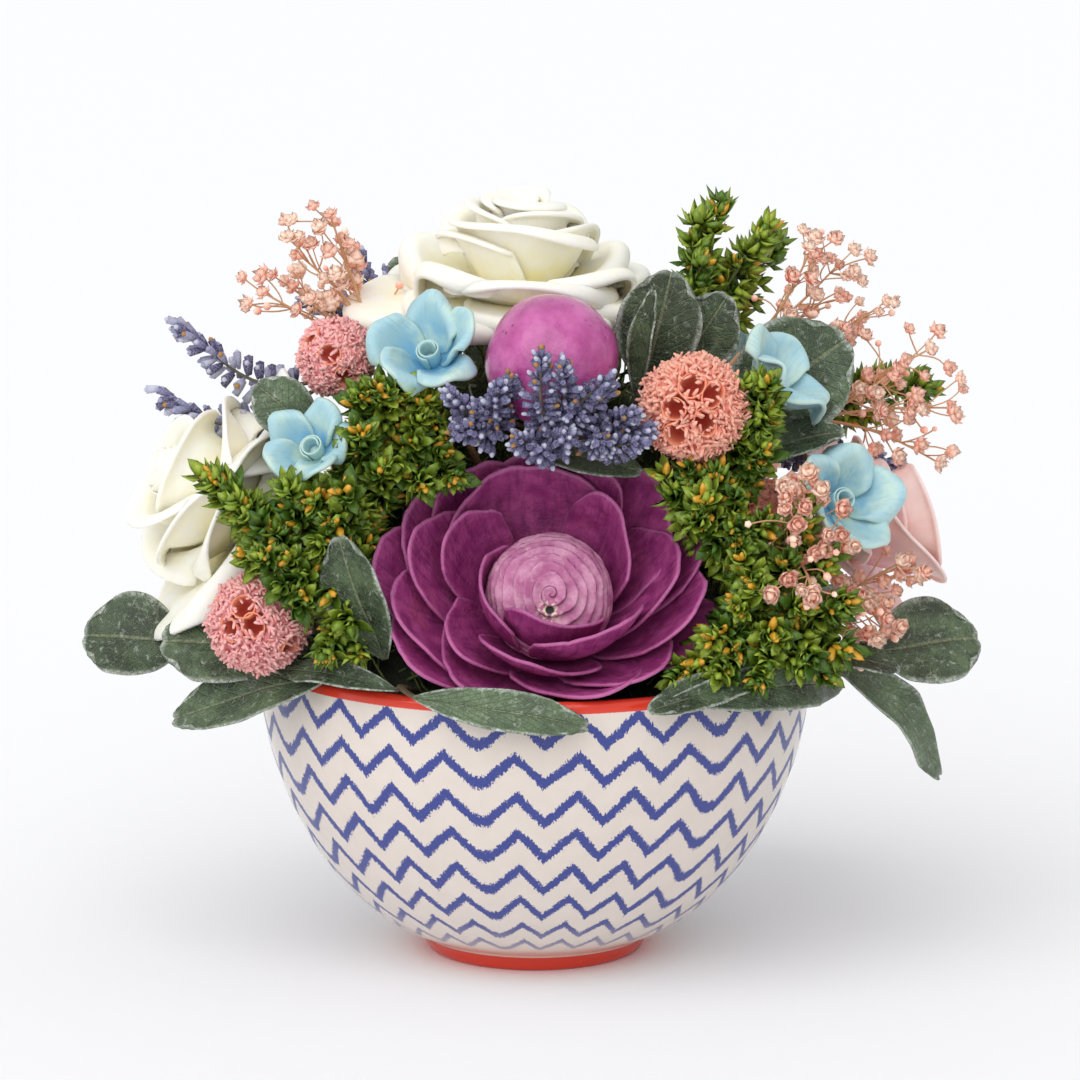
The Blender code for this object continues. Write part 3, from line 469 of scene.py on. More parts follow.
def seated(points, clear=8.5):
    """Pushes points back along the purple flower's axis, out of the bowl shape that its shells fill."""
    height = (points - PURPLE_BASE) @ PURPLE_AXIS
    aside = np.linalg.norm(points - PURPLE_BASE - height[:, None] * PURPLE_AXIS, axis=1)
    over = np.clip(height + clear - np.clip(aside - 16, 0, 60) * 0.45, 0, 45)
    return points - PURPLE_AXIS * (over * (1 - smoothstep(52, 62, aside)) * (points[:, 2] > 70))[:, None]


foam_body = turned([*FOAM_INSIDE, *smooth_line(MOUND, 76), (0, 162)], 150)
foam_points = foam_body.points[0]
rough = hummocks(foam_points) * smoothstep(76, 84, foam_points[:, 2:])
foam_body.points = [seated(foam_points) + rough]
print("the foam reaches up to", foam_body.points[0][:, 2].max().round(1), "mm")

# %% [markdown]
# ### Moss
#
# Under the flowers the moss is painted nearly black as shade, and on the open back it is painted a lighter
# green as lit moss. One finish serves the mound and the loose tufts: tufts with a middle tone are green,
# painted lighter as lit on the back, and those with a high one are lichen grey. An image of moss could be
# wrapped round the mound, but a noise drawn out along its height looks like fibres at any size.

# %% Finish of the moss
GREEN_TUFT, GREY_TUFT = 0.6, 1.2
moss = Finish("moss_in_shade", "dry_foam", roughness=0.95)
place = moss.place()
tone = moss.tone()
fibres = moss.noise(moss.stretched(place, (1.0, 1.0, 3.0)), 1.2, 4.0, 0.7, 1.5)
# Painted light: this mask rises towards the open back, where the moss is painted as lit.
lit_back = moss.parts(place)[1].over(-25, 15)
lit_tuft_green = moss.mix(lit_back, (104, 120, 54), (150, 164, 78))
# Painted shade and light: nearly black where the flowers shade the moss, lighter green on the lit back.
colour = moss.coats(
    moss.mix(fibres.over(0.35, 0.75), (12, 15, 9), (44, 52, 26)),
    (lit_back * 0.8, moss.mix(fibres.over(0.35, 0.7), (40, 52, 22), (110, 126, 56))),
    (tone.over(0.4, 0.5), moss.mix(fibres.over(0.3, 0.7), (48, 62, 26), lit_tuft_green)),
    (tone.over(0.9, 1.0), moss.mix(fibres.over(0.3, 0.7), (120, 124, 104), (186, 190, 172))),
)
moss.apply(colour, fibres, 0.8)
add_piece("foam_and_moss", foam_body, moss, "foam")

# %% [markdown]
# ### Loose tufts
#
# Loose moss lies on the mound in short curls. Blender's hair could grow there, but the exported model
# would lose it, so each curl is a real bar with three sides, and one formula bends thousands at once.

# %% Many bars at once


def copied(faces, count, size):
    """The faces of count copies of one body that has size points."""
    start = (np.arange(count) * size)[:, None, None]
    return [(block + start).reshape(-1, block.shape[1]) for block in faces]


def tubes(paths, radii, sides=6, tone=0.0):
    """Round bars along n paths of m points each, with a point at both ends.

    Each ring is the path's point plus r cos a to one side and r sin a upwards, across the way from the
    point before it to the point after it.
    """
    paths = np.asarray(paths, float)
    count, length = paths.shape[:2]
    radii = np.broadcast_to(np.asarray(radii, float), (count, length))[..., None]
    heading = unit(np.gradient(paths, axis=1))
    side = unit(np.cross(heading, np.array([0.36, 0.48, 0.8])))
    up = np.cross(heading, side)
    angle = np.arange(sides) * math.tau / sides
    circle = side[:, :, None] * np.cos(angle)[:, None] + up[:, :, None] * np.sin(angle)[:, None]
    rings = (paths[:, :, None] + circle * radii[:, :, None]).reshape(count, -1, 3)
    first = paths[:, :1] - heading[:, :1] * radii[:, :1]
    last = paths[:, -1:] + heading[:, -1:] * radii[:, -1:]
    each = length * sides + 2
    faces = copied(barrel_faces(length, sides), count, each)
    tone = np.repeat(np.broadcast_to(np.asarray(tone, float), (count,)), each)
    uv = np.tile(barrel_uv(length, sides), (count, 1))
    return Shape().add(np.concatenate([rings, first, last], 1), faces, uv, tone)


def curls(places, headings, lengths, radius, bend, steps, tones, draw):
    """Bars of three sides that start at the places along the headings and bend aside.

    After a share t of its length, a curl has gone t (1 - 0.35 bend t) ahead and bend t squared aside.
    """
    aside = unit(np.cross(headings, draw.normal(0, 1, headings.shape)))
    t = np.linspace(0, 1, steps)[None, :, None]
    length = lengths[:, None, None]
    ahead = headings[:, None] * length * t * (1 - 0.35 * bend * t)
    paths = places[:, None] + ahead + aside[:, None] * length * bend * t * t
    taper = radius * np.linspace(1.1, 0.75, steps)[None] * draw.uniform(0.7, 1.3, (len(places), 1))
    return tubes(paths, taper, 3, tones)


print("one straight bar has", tubes([[(0, 0, 0), (0, 0, 1)]], 0.1).count, "points")

# %% Tufts strewn on the mound


def spread(count, draw):
    """Unit vectors spread evenly over a ball along a golden spiral, then shaken a little."""
    k = np.arange(count) + 0.5
    z = 1 - 2 * k / count
    angle = k * math.pi * (3 - math.sqrt(5))
    ring = np.sqrt(1 - z * z)
    even = np.stack([ring * np.cos(angle), ring * np.sin(angle), z], 1)
    return unit(even + draw.normal(0, 0.9 / math.sqrt(count), even.shape))


def strewn(count, draw, middle=96):
    """Places on the mound seen from its middle height, and the directions out of it."""
    out = spread(count, draw)
    out = out[out[:, 2] > -0.25]
    line = smooth_line(MOUND, 200)
    lift = np.degrees(np.arctan2(line[:, 1] - middle, line[:, 0]))
    at = np.degrees(np.arcsin(np.clip(out[:, 2], -1, 1)))
    radius, height = (np.interp(at, lift, line[:, k])[:, None] for k in (0, 1))
    return seated(unit(out * [1, 1, 0]) * radius + height * [0, 0, 1]), out


draw = np.random.default_rng(41)
places, out = strewn(3400, draw)
headings = unit(out * 0.5 + draw.normal(0, 0.6, out.shape))
chance = draw.uniform(0, 1, len(out))
loose = draw.choice([GREEN_TUFT, GREY_TUFT], len(out), p=[0.85, 0.15])
# Tufts of tone 0 take the moss's painted shade, and more of them lie at the front, under the flowers.
tones = np.where(chance < np.where(places[:, 1] > -15, 0.75, 0.5), loose, 0.0)
tufts = curls(places, headings, draw.uniform(4, 9, len(out)), 0.42, 0.9, 4, tones, draw)
add_piece("moss_curls", tufts, moss)

# %% [markdown]
# ## Petals
#
# Every flower here is made of the same kind of surface. A petal's middle climbs from the flower's axis at
# given headings, its sides are wrapped round the axis, and its free edge is rolled back. Sculpting each
# petal by hand would look as good, but all of them can share a formula, and it keeps each petal where the
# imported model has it.

# %% Sheets into blades


def grid_quads(rows, columns):
    """The quads of a grid of points that are numbered row by row."""
    index = np.arange(rows * columns).reshape(rows, columns)
    corners = index[:-1, :-1], index[:-1, 1:], index[1:, 1:], index[1:, :-1]
    return np.stack(corners, -1).reshape(-1, 4)


def sheet_normals(grid):
    """The unit normal at each point of a grid: across times along."""
    return unit(np.cross(np.gradient(grid, axis=1), np.gradient(grid, axis=0)))


def thicken(grid, thickness, tone=0.0):
    """Closes a sheet into a blade with a rounded edge.

    Its two sides lie half the thickness along the normals, and a ring of points, pushed outwards by the
    same amount, joins them. The UV pair is the place across and along.
    """
    rows, columns = grid.shape[:2]
    size, half = rows * columns, thickness / 2
    normal = sheet_normals(grid)
    index = np.arange(size).reshape(rows, columns)
    border = np.concatenate([index[0, :-1], index[:-1, -1], index[-1, :0:-1], index[:0:-1, 0]])
    row, column = border // columns, border % columns
    inner = grid[np.clip(row, 1, rows - 2), np.clip(column, 1, columns - 2)]
    rim = grid[row, column] + unit(grid[row, column] - inner) * half
    sides = [(grid + normal * half).reshape(-1, 3), (grid - normal * half).reshape(-1, 3)]
    quads = grid_quads(rows, columns)
    ring = 2 * size + np.arange(len(border))
    after, ring_after = np.roll(border, -1), np.roll(ring, -1)
    upper = np.stack([border, ring, ring_after, after], 1)
    lower = np.stack([ring, border + size, after + size, ring_after], 1)
    uv = np.stack(np.meshgrid(np.linspace(0, 1, columns), np.linspace(0, 1, rows)), -1).reshape(-1, 2)
    faces = [quads, quads[:, ::-1] + size, upper, lower]
    return Shape().add(np.concatenate([*sides, rim]), faces, np.concatenate([uv, uv, uv[border]]), tone)


print("a grid of three by four points has", len(grid_quads(3, 4)), "quads")

# %% The surface of a petal


def arc_to(root, end, bow, share=1.0):
    """Length and headings of an arc from root to end, which bends up by twice bow degrees on its way.

    With c the heading of the chord, the arc's headings run from c - bow to c + bow, and its length is the
    chord times bow / sin bow. It goes on past the end until the way to the end is the given share of it.
    """
    across, up = end[0] - root[0], end[1] - root[1]
    chord = math.degrees(math.atan2(up, across))
    length = math.hypot(across, up) / np.sinc(bow / 180) / share
    return length, tuple(chord - bow + bow * k / share for k in (0, 1, 2))


def petal(azimuth, root, length, width, angles, drop, tilt, rows, columns, waist=0.2, cup=0, skew=0, crowd=1):
    """A grid over s, across from -1 to 1, and t, along from root to tip.

    The middle leaves the root (radius, height) and climbs at the angles, in degrees above the flower's
    base. Rows end sooner at the sides, by drop times |s - skew| to the power 2.5. The half-width grows
    from waist to full with a sine, and is wrapped round the axis as an angle. tilt lifts one side, and
    cup lifts both by s squared. With crowd under 1 the rows lie closer together towards the tip.
    """
    s, t = np.meshgrid(np.linspace(-1, 1, columns), np.linspace(0, 1, rows) ** crowd)
    run = t * (1 - drop * np.abs(s - skew * (1 - s * s)) ** 2.5)
    fine = np.linspace(0, 1, 61)
    angle = np.radians(np.interp(fine, np.linspace(0, 1, len(angles)), angles))
    step = length / 60
    radius_along = root[0] + np.concatenate([[0], np.cumsum(np.cos(angle[1:]) * step)])
    height_along = root[1] + np.concatenate([[0], np.cumsum(np.sin(angle[1:]) * step)])
    radius, height = np.interp(run, fine, radius_along), np.interp(run, fine, height_along)
    slope = np.interp(run, fine, angle)
    reach = width * (waist + (1 - waist) * np.sin(np.minimum(run / 0.62, 1) * math.pi / 2))
    around = math.radians(azimuth) + s * reach / np.maximum(radius, 0.42 * width + 1.0)
    lift = (tilt * s - cup * s * s) * np.minimum(run / 0.5, 1)
    radius = radius + lift * np.sin(slope)
    height = height - lift * np.cos(slope)
    return np.stack([radius * np.cos(around), radius * np.sin(around), height], 2)


def ruffled(grid, height, size, seed):
    """Moves a petal along its normal by a soft noise that grows towards its tip."""
    t = np.linspace(0, 1, grid.shape[0])[:, None]
    lift = value_noise(grid, size, seed) * height * smoothstep(0.2, 1.0, t)
    return grid + sheet_normals(grid) * lift[..., None]


length, headings = arc_to((0, 0), (10, 10), 20)
print("an arc over a chord of 14.1 mm is", round(length, 1), "mm long")

# %% Rolled lips and corners


def roll_back(grid, past, radius, limit=3.7):
    """Rolls what lies past a line on a petal back round a bar.

    past is the distance m past the line at each point, and its slope on the surface gives the way out. A
    point goes back by m, then out by r sin a and along the normal by r (1 - cos a), with a = m / r. Where
    a would be more than limit, the rest of m goes on straight.
    """
    pu, pv = np.gradient(grid, axis=1), np.gradient(grid, axis=0)
    du, dv = np.gradient(past, axis=1)[..., None], np.gradient(past, axis=0)[..., None]
    e = (pu * pu).sum(2, keepdims=True)
    f = (pu * pv).sum(2, keepdims=True)
    g = (pv * pv).sum(2, keepdims=True)
    area = np.maximum(e * g - f * f, 1e-6)
    outward = unit(((g * du - f * dv) * pu + (e * dv - f * du) * pv) / area)
    m = np.maximum(past, 0)[..., None]
    a = np.minimum(m / radius, limit)
    rest = m - a * radius
    out = radius * np.sin(a) + rest * np.cos(a) - m
    return grid + outward * out + sheet_normals(grid) * (radius * (1 - np.cos(a)) + rest * np.sin(a))


def soft_max(one, other, soft):
    """The larger of two fields, with the crease between them rounded over the distance soft."""
    x = np.clip(0.5 + 0.5 * (one - other) / soft, 0, 1)
    return other * (1 - x) + one * x + soft * x * (1 - x)


def roll_lip(grid, zone, turn):
    """Rolls the free edge of a petal, its tip and its upper sides, back by turn degrees over a zone."""
    t = np.linspace(0, 1, grid.shape[0])[:, None]
    s = np.linspace(-1, 1, grid.shape[1])[None]
    along = np.linalg.norm(np.diff(grid, axis=0), axis=2).sum(0)[None] * (1 - t)
    half = np.linalg.norm(np.diff(grid, axis=1), axis=2).sum(1)[:, None] / 2
    across = half * (1 - np.abs(s)) + zone * 1.6 * (1 - smoothstep(0.05, 0.4, t))
    past = soft_max(zone - along, zone - across, 0.35 * zone)
    return roll_back(grid, past, zone / math.radians(turn))


def fold_corners(grid, tip, left, right, radius, soft, limit):
    """Rolls both corners of a petal back along straight lines that meet in a point on its middle.

    x and y are lengths measured on the petal, across and along. The point lies at the share tip of its
    length, and left and right are the slopes of the two lines in degrees: 0 leaves one straight lip.
    """
    x = np.cumsum(np.linalg.norm(np.diff(grid, axis=1, prepend=grid[:, :1]), axis=2), axis=1)
    x = x - x[:, [grid.shape[1] // 2]]
    y = np.cumsum(np.linalg.norm(np.diff(grid, axis=0, prepend=grid[:1]), axis=2), axis=0)
    y = y - y[-1].max() * tip
    left, right = math.radians(left), math.radians(right)
    past = soft_max(y * math.cos(right) + x * math.sin(right), y * math.cos(left) - x * math.sin(left), soft)
    return roll_back(grid, past, radius, limit)


print("two equal fields, rounded over 1 mm, meet at", soft_max(0.0, 0.0, 1.0))

# %% Stems and picks
PICK_TONE = 3.0
PICK_WOOD = (150, 116, 80)


def stem_end(node):
    """The middle of a CAD stem's end in the foam: the mean of its points nearest the foam's heart."""
    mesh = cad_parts[node].data
    points = np.empty(len(mesh.vertices) * 3, np.float32)
    mesh.vertices.foreach_get("co", points)
    points = points.reshape(-1, 3) / MM
    away = np.linalg.norm(points - FOAM_HEART, axis=1)
    return points[away < away.min() + 1.2].mean(0)


def stem_line(node, end, via=()):
    """The way from a stem's end in the foam to a point: straight, or smooth where it passes others."""
    foot = stem_end(node)
    return smooth_line([foot, *via, end], 14) if len(via) else np.linspace(foot, end, 8)


def pick(node, end):
    """The wooden pick from the foam to a head."""
    return tubes([stem_line(node, end)], 1.1, 10, PICK_TONE)


def frames(directions, spins=0.0):
    """For each direction, three unit columns: the last is the direction, turned about it by its spin."""
    z = unit(np.asarray(directions, float))
    aside = np.cross(np.array([0.0, 0.0, 1.0]), z)
    aside = np.where(np.linalg.norm(aside, axis=-1, keepdims=True) < 1e-3, np.array([1.0, 0.0, 0.0]), aside)
    x = unit(aside)
    y = np.cross(z, x)
    spins = np.broadcast_to(np.asarray(spins, float), z.shape[:-1])[..., None]
    return np.stack([x * np.cos(spins) + y * np.sin(spins), y * np.cos(spins) - x * np.sin(spins), z], -1)


print("the purple flower's pick ends at", stem_end("purple_flower").round(1))

# %% [markdown]
# ## The purple flower
#
# It is cut from dyed wood shavings: broad stiff shells stand round a tightly rolled shaving. The shells
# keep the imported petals' places, and each one gets a thick rim. The core could be a real sheet wound up,
# but its turns lie so close that one turned dome, whose surface steps down along a spiral, looks the same
# with far fewer faces.

# %% Shells of the purple flower
SHELL_ROWS, SHELL_COLUMNS = 26, 25
# Each shell: azimuth (0 right, 90 up), radius and height of its tip, half-width, bow, drop, skew.
SHELLS = [
    (186, 18.6, 21, 17, 20, 0.16, 0.2), (150, 28, 26, 13, 24, 0.26, 0.2), (38, 25, 29, 15, 20, 0.36, 0.5),
    (268, 18.6, 26, 15, 20, 0.22, -0.2), (298, 27, 29, 18, 24, 0.26, 0.1), (6, 34, 25, 17, 24, 0.32, -0.2),
    (-10, 41, 23, 18, 22, 0.3, -0.2), (-17, 50, 13, 16, 8, 0.44, 0.0), (214, 33, 19, 14, 18, 0.36, 0.3),
    (162, 36, 26, 17, 26, 0.26, 0.2), (196, 42, 23, 17, 26, 0.28, -0.1), (104, 31, 27, 25, 26, 0.2, -0.1),
    (68, 32, 28, 13, 22, 0.38, -0.4), (41, 38, 26, 19, 24, 0.26, 0.3), (22, 43, 24, 17, 24, 0.28, -0.2),
    (90, 35, 25, 20, 22, 0.24, 0.1), (121, 37, 25, 20, 24, 0.22, 0.2), (148, 41, 25, 18, 24, 0.26, -0.2),
    (173, 46, 22, 18, 22, 0.24, 0.1), (207, 45, 19, 18, 20, 0.28, 0.2), (258, 30, 24, 18, 26, 0.36, -0.5),
    (234, 41, 19, 19, 24, 0.42, 0.3), (284, 38, 19.5, 19, 24, 0.38, 0.35),
    (316, 40, 19, 18, 20, 0.42, -0.3),
]

draw = np.random.default_rng(7)
to_tip = np.linspace(0, 1, SHELL_ROWS)[:, None]
shells = Shape()
for azimuth, radius, height, width, bow, drop, skew in SHELLS:
    root = (12.0, 0.5) if radius < 30 else (11.0, -0.8)
    length, headings = arc_to(root, (radius, height), bow)
    shape = (drop, 1.5, SHELL_ROWS, SHELL_COLUMNS, 0.5, 1.2, skew)
    blade = ruffled(petal(azimuth, root, length, width, headings, *shape), 1.2, 12.0, int(draw.integers(99)))
    edge = value_noise(blade, 5.0, int(draw.integers(99))) + 0.4 * value_noise(blade, 1.8, 5)
    blade = blade + (edge * to_tip ** 3)[..., None] * unit(np.gradient(blade, axis=0))
    shells.join(thicken(roll_lip(blade, 1.6, 20), 0.9, draw.uniform(0, 1)))
print("shells:", len(SHELLS))

# %% The rolled core
CORE_TONE = 2.0
CORE_SIDES = 100
CORE_LINE = [(11, -2), (12.5, 4.5), (15.0, 9), (15.6, 13.5), (13.4, 18.5), (8.2, 21.8), (0.4, 22.9)]
NOD = math.radians(-30)


def turn_share(points):
    """The angle of each point about +Z, as a share of a turn."""
    return np.arctan2(points[:, 1], points[:, 0]) / math.tau


def spiral_phase(points):
    """How many turns of the shaving lie inside a point of the core."""
    path = np.hypot(points[:, 0], points[:, 1]) + np.maximum(19 - points[:, 2], 0) * 0.8
    path = path + 1.0 * value_noise(points, 8.0, 9) + 0.25 * value_noise(points, 2.5, 4)
    return path / 2.3 - turn_share(points)


def spiral_steps(points):
    """Lifts the surface like roof tiles along a spiral: high where a turn ends, low where it starts."""
    phase = spiral_phase(points) % 1.0
    inside = np.clip(np.hypot(points[:, 0], points[:, 1]) / 2, 0, 1)
    lift = 2.2 * phase**1.5 * (1 - smoothstep(0.74, 1.0, phase)) * inside
    lift = lift + 0.3 * value_noise(points, 2.5, 3)
    return unit(points * [1, 1, 0] + [0, 0, 9]) * lift[:, None]


core_shape = [(0, -2.5), *smooth_line(CORE_LINE, 88), (0, 22.4)]
plain = turned(core_shape, CORE_SIDES).points[0]
core = turned(core_shape, CORE_SIDES, CORE_TONE, spiral_steps)
core.uv = [np.stack([spiral_phase(plain) + turn_share(plain), core.uv[0][:, 1]], 1)]
tilted = np.array([[1, 0, 0], [0, math.cos(NOD), -math.sin(NOD)], [0, math.sin(NOD), math.cos(NOD)]])
core.points = [(core.points[0] - [0, 0, 10]) @ tilted + [0, 0, 10]]
purple_turn = frames(PURPLE_AXIS)
core_turn = purple_turn @ tilted.T
core_middle = PURPLE_BASE + PURPLE_AXIS * 10
shells.join(core).moved(PURPLE_BASE, purple_turn)
shells.join(pick("purple_flower", PURPLE_BASE + PURPLE_AXIS))
print("the core has", core.count, "points")

# %% [markdown]
# ### Dyed shaving
#
# Dye settles unevenly in wood: it is darker along the grain, and paler on the cut rim. The foot of a shell,
# where the shells shade each other, is painted darker as shade. The core is paler still, with painted shade
# as a dark line between its turns, and a pore beside its middle. Wood could be a ready picture, but the UV
# pair already runs across and along each shell, so a noise that is stretched along it gives the grain.

# %% Finish of the shavings
dyed = Finish("dyed_shaving", "purple_petal", roughness=0.5)
place = dyed.place()
across, along = dyed.way()
tone = dyed.tone()
rim = (abs((across - 0.5) * 2) ** 40).larger(along.over(0.975, 0.995))
veins = dyed.noise(dyed.vector(across * 26, along * 3, tone * 9), 1.0, 3.0, 0.6, 0.4)
mottle = dyed.noise(place, 5.0, 4.0, 0.6)
stain = dyed.noise(place, 14.0, 5.0, 0.7).over(0.56, 0.72)
petals = dyed.coats(
    dyed.mix(mottle.over(0.3, 0.75), (142, 42, 110), (182, 78, 142)),
    (veins.over(0.45, 0.7) * 0.5, (88, 20, 68)),
    # Painted shade: darker towards the foot of each shell, where the shells cover each other.
    ((1 - along.over(0.0, 0.6)) * 0.4, (104, 26, 80)),
    (stain * 0.5, (168, 72, 104)),
    (rim * 0.5, (200, 118, 170)),
)

# %% Finish of the core
from_middle = dyed.node("ShaderNodeVectorMath", {"operation": "SUBTRACT"}, {0: place, 1: tuple(core_middle)})
core_x, core_y = (
    dyed.node("ShaderNodeVectorMath", {"operation": "DOT_PRODUCT"}, {0: from_middle, 1: tuple(axis)}, "Value")
    for axis in core_turn.T[:2]
)
phase = (across - core_y.arctan2(core_x) * (1 / math.tau) + 8.0).fract()
# Painted shade: a dark line in the gap between the turns of the core.
groove_shade = phase.over(0.70, 0.88) * (1 - phase.over(0.96, 1.0)) * dyed.noise(place, 4.0).over(0.3, 0.5)
pore = tuple(core_middle + core_turn @ [-0.5, -4.4, 12.4])
pore = dyed.node("ShaderNodeVectorMath", {"operation": "DISTANCE"}, {0: place, 1: pore}, "Value")
fleck = dyed.noise(place, 2.2, 3.0, 0.7).over(0.62, 0.72)
heart = dyed.coats(
    dyed.mix(mottle.over(0.35, 0.7), (186, 104, 150), (222, 160, 190)),
    (groove_shade * 0.9, (112, 36, 84)),
    ((1 - pore.over(1.5, 4.5)) * dyed.noise(place, 1.2, 2.0).over(0.5, 0.55), (240, 226, 196)),
    (1 - pore.over(1.1, 1.5), (36, 44, 30)),
    (fleck * 0.6, (232, 206, 206)),
)
colour = dyed.mix(tone.over(1.5, 1.6), petals, heart)
dyed.apply(colour, veins * 0.6 + dyed.noise(place, 0.8, 2.0) + mottle, 0.25, mottle * 0.2 + 0.45)
add_piece("purple_shells", shells, dyed, "purple_flower")

# %% [markdown]
# ## Roses
#
# The roses are cut from soft white sheet: a tight bud, upright petals round it, and a round that lies
# open. The edges are rolled right back, which leaves broad smooth lips with folds between them. Cloth
# simulation could curl such petals, but it can't be told where each lip should lie. So each petal has a
# row in a table, and its corners are rolled along two straight lines.

# %% A rose from a table of petals


def wound_tube(radius, height, turns, rows, columns):
    """A sheet wound about +Z: the angle grows along it, and the radius grows a little with the angle."""
    u, t = np.meshgrid(np.linspace(0, 1, columns), np.linspace(0, 1, rows))
    angle = u * turns * math.tau
    out = radius * (0.62 + 0.38 * u) * (1 + 0.25 * t)
    grid = np.stack([out * np.cos(angle), out * np.sin(angle), height * t * (1 - 0.12 * u)], 2)
    return thicken(grid[:, ::-1], 0.5, 0.95)


def on_pick(flower, node, base, axis, spin=0.0):
    """The flower, which was made about +Z, stood on its base along its axis, with its pick."""
    flower.moved(base, frames(axis, spin))
    return flower.join(pick(node, np.array(base, float) + unit(np.array(axis, float))))


def rose(node, base, axis, size, table, lip, seed, fine, ruffle=0.04, limit=2.7, bud=0.6, soft=0.16):
    """Petals with rolled corners on a pick. size is the radius of the open round. As shares of it, lip is
    the radius of the rolls, bud the height of the bud and soft the rounding where two rolls meet."""
    draw = np.random.default_rng(seed)
    flower = Shape()
    root = (0.12 * size, 0.0)
    for azimuth, radius, height, width, bow, tip, left, right in table:
        length, headings = arc_to(root, (radius * size, height * size), bow, tip)
        shape = (0.17, 0.045 * size, fine, fine - 4, 0.35)
        blade = petal(azimuth, root, length, width * size, headings, *shape, crowd=0.65)
        blade = ruffled(blade, ruffle * size, 0.5 * size, int(draw.integers(99)))
        roll = lip * size * draw.uniform(0.9, 1.3)
        blade = fold_corners(blade, tip, left, right, roll, soft * size, limit)
        flower.join(thicken(blade, 0.032 * size, draw.uniform(0, 0.3) + min(height, 0.6)))
    flower.join(wound_tube(0.15 * size, bud * size, 2.8, 10, 54))
    heart = [(0.10, -0.04), (0.12, 0.1), (0.12, bud - 0.2), (0.05, bud - 0.12), (0.01, bud - 0.1)]
    heart = smooth_line(np.array(heart) * size, 16)
    flower.join(turned([(0, -0.06 * size), *heart, (0, (bud - 0.1) * size)], 24, 0.9))
    return on_pick(flower, node, base, axis)


print("a wound tube of two turns has", wound_tube(5, 20, 2, 4, 20).count, "points")

# %% Tables of petals
# Each petal: azimuth, radius and height of its lip, half-width (all as shares of the rose's size), bow,
# share of its length up to the lip, and how steeply its two corners are rolled back.
OPEN_ROSE = [
    (15, 0.92, 0.12, 0.54, -12, 0.88, 20, 26), (87, 0.92, 0.12, 0.54, -12, 0.86, 28, 18),
    (159, 0.92, 0.12, 0.54, -12, 0.88, 18, 28), (231, 0.92, 0.12, 0.54, -12, 0.86, 26, 22),
    (303, 0.92, 0.12, 0.54, -12, 0.88, 22, 30), (50, 0.64, 0.34, 0.5, 16, 0.84, 22, 32),
    (140, 0.62, 0.34, 0.5, 16, 0.84, 32, 18), (230, 0.64, 0.34, 0.5, 16, 0.84, 20, 30),
    (320, 0.62, 0.34, 0.5, 16, 0.84, 30, 20), (0, 0.38, 0.5, 0.42, 16, 0.86, 18, 30),
    (120, 0.38, 0.5, 0.42, 16, 0.86, 28, 18), (240, 0.38, 0.5, 0.42, 16, 0.86, 22, 26),
    (60, 0.2, 0.58, 0.28, 12, 0.9, 14, 22), (180, 0.2, 0.58, 0.28, 12, 0.9, 22, 14),
]
# The top rose is seen from its side, so its petals follow the photograph one by one.
TOP_ROSE = [
    (182, 1.02, -0.02, 0.44, -8, 0.9, 12, 24), (228, 0.9, 0.03, 0.48, -8, 0.9, 18, 18),
    (280, 0.86, 0.04, 0.52, -8, 0.88, 8, 14), (334, 0.94, 0.05, 0.5, -8, 0.9, 24, 18),
    (28, 0.92, 0.08, 0.52, -8, 0.88, 22, 28), (80, 0.9, 0.1, 0.52, -8, 0.88, 26, 22),
    (132, 0.92, 0.07, 0.52, -8, 0.88, 24, 26), (272, 0.7, 0.25, 0.6, 22, 0.86, 5, 8),
    (214, 0.66, 0.33, 0.4, 20, 0.84, 36, 8), (324, 0.68, 0.27, 0.46, 20, 0.84, 8, 34),
    (20, 0.64, 0.28, 0.48, 18, 0.84, 24, 28), (86, 0.64, 0.3, 0.5, 18, 0.84, 28, 22),
    (150, 0.66, 0.3, 0.46, 18, 0.84, 20, 30), (258, 0.4, 0.52, 0.52, 14, 0.84, 2, 6),
    (200, 0.38, 0.44, 0.36, 16, 0.86, 24, 6), (338, 0.4, 0.46, 0.5, 10, 0.92, 4, 24),
    (50, 0.36, 0.5, 0.42, 14, 0.88, 18, 26), (126, 0.34, 0.5, 0.4, 14, 0.88, 26, 18),
    (310, 0.26, 0.57, 0.36, 6, 0.92, 4, 18), (180, 0.22, 0.58, 0.28, 12, 0.9, 18, 10),
    (60, 0.22, 0.62, 0.28, 12, 0.92, 14, 18), (290, 0.13, 0.61, 0.32, 4, 0.86, 2, 12),
    (110, 0.1, 0.6, 0.26, 4, 0.86, 8, 4),
]
# The left rose turns its side to the front: azimuth 0 faces the viewer, 90 is up and 270 is down.
LEFT_ROSE = [
    (14, 0.8, 0.44, 0.82, 8, 0.95, 16, 28), (86, 0.92, 0.28, 0.8, 0, 0.94, 28, 20),
    (160, 0.88, 0.18, 0.72, -4, 0.94, 24, 24), (232, 0.94, 0.24, 0.74, -4, 0.94, 24, 28),
    (296, 1.08, 0.36, 0.8, 0, 0.96, 14, 26), (342, 0.58, 0.66, 0.66, 16, 0.95, 18, 30),
    (62, 0.58, 0.58, 0.7, 14, 0.95, 28, 18), (150, 0.56, 0.52, 0.6, 14, 0.94, 26, 24),
    (236, 0.56, 0.6, 0.6, 14, 0.95, 24, 24), (24, 0.36, 0.78, 0.5, 16, 0.95, 16, 28),
    (144, 0.34, 0.76, 0.46, 16, 0.95, 24, 18), (268, 0.36, 0.82, 0.5, 16, 0.95, 18, 24),
]
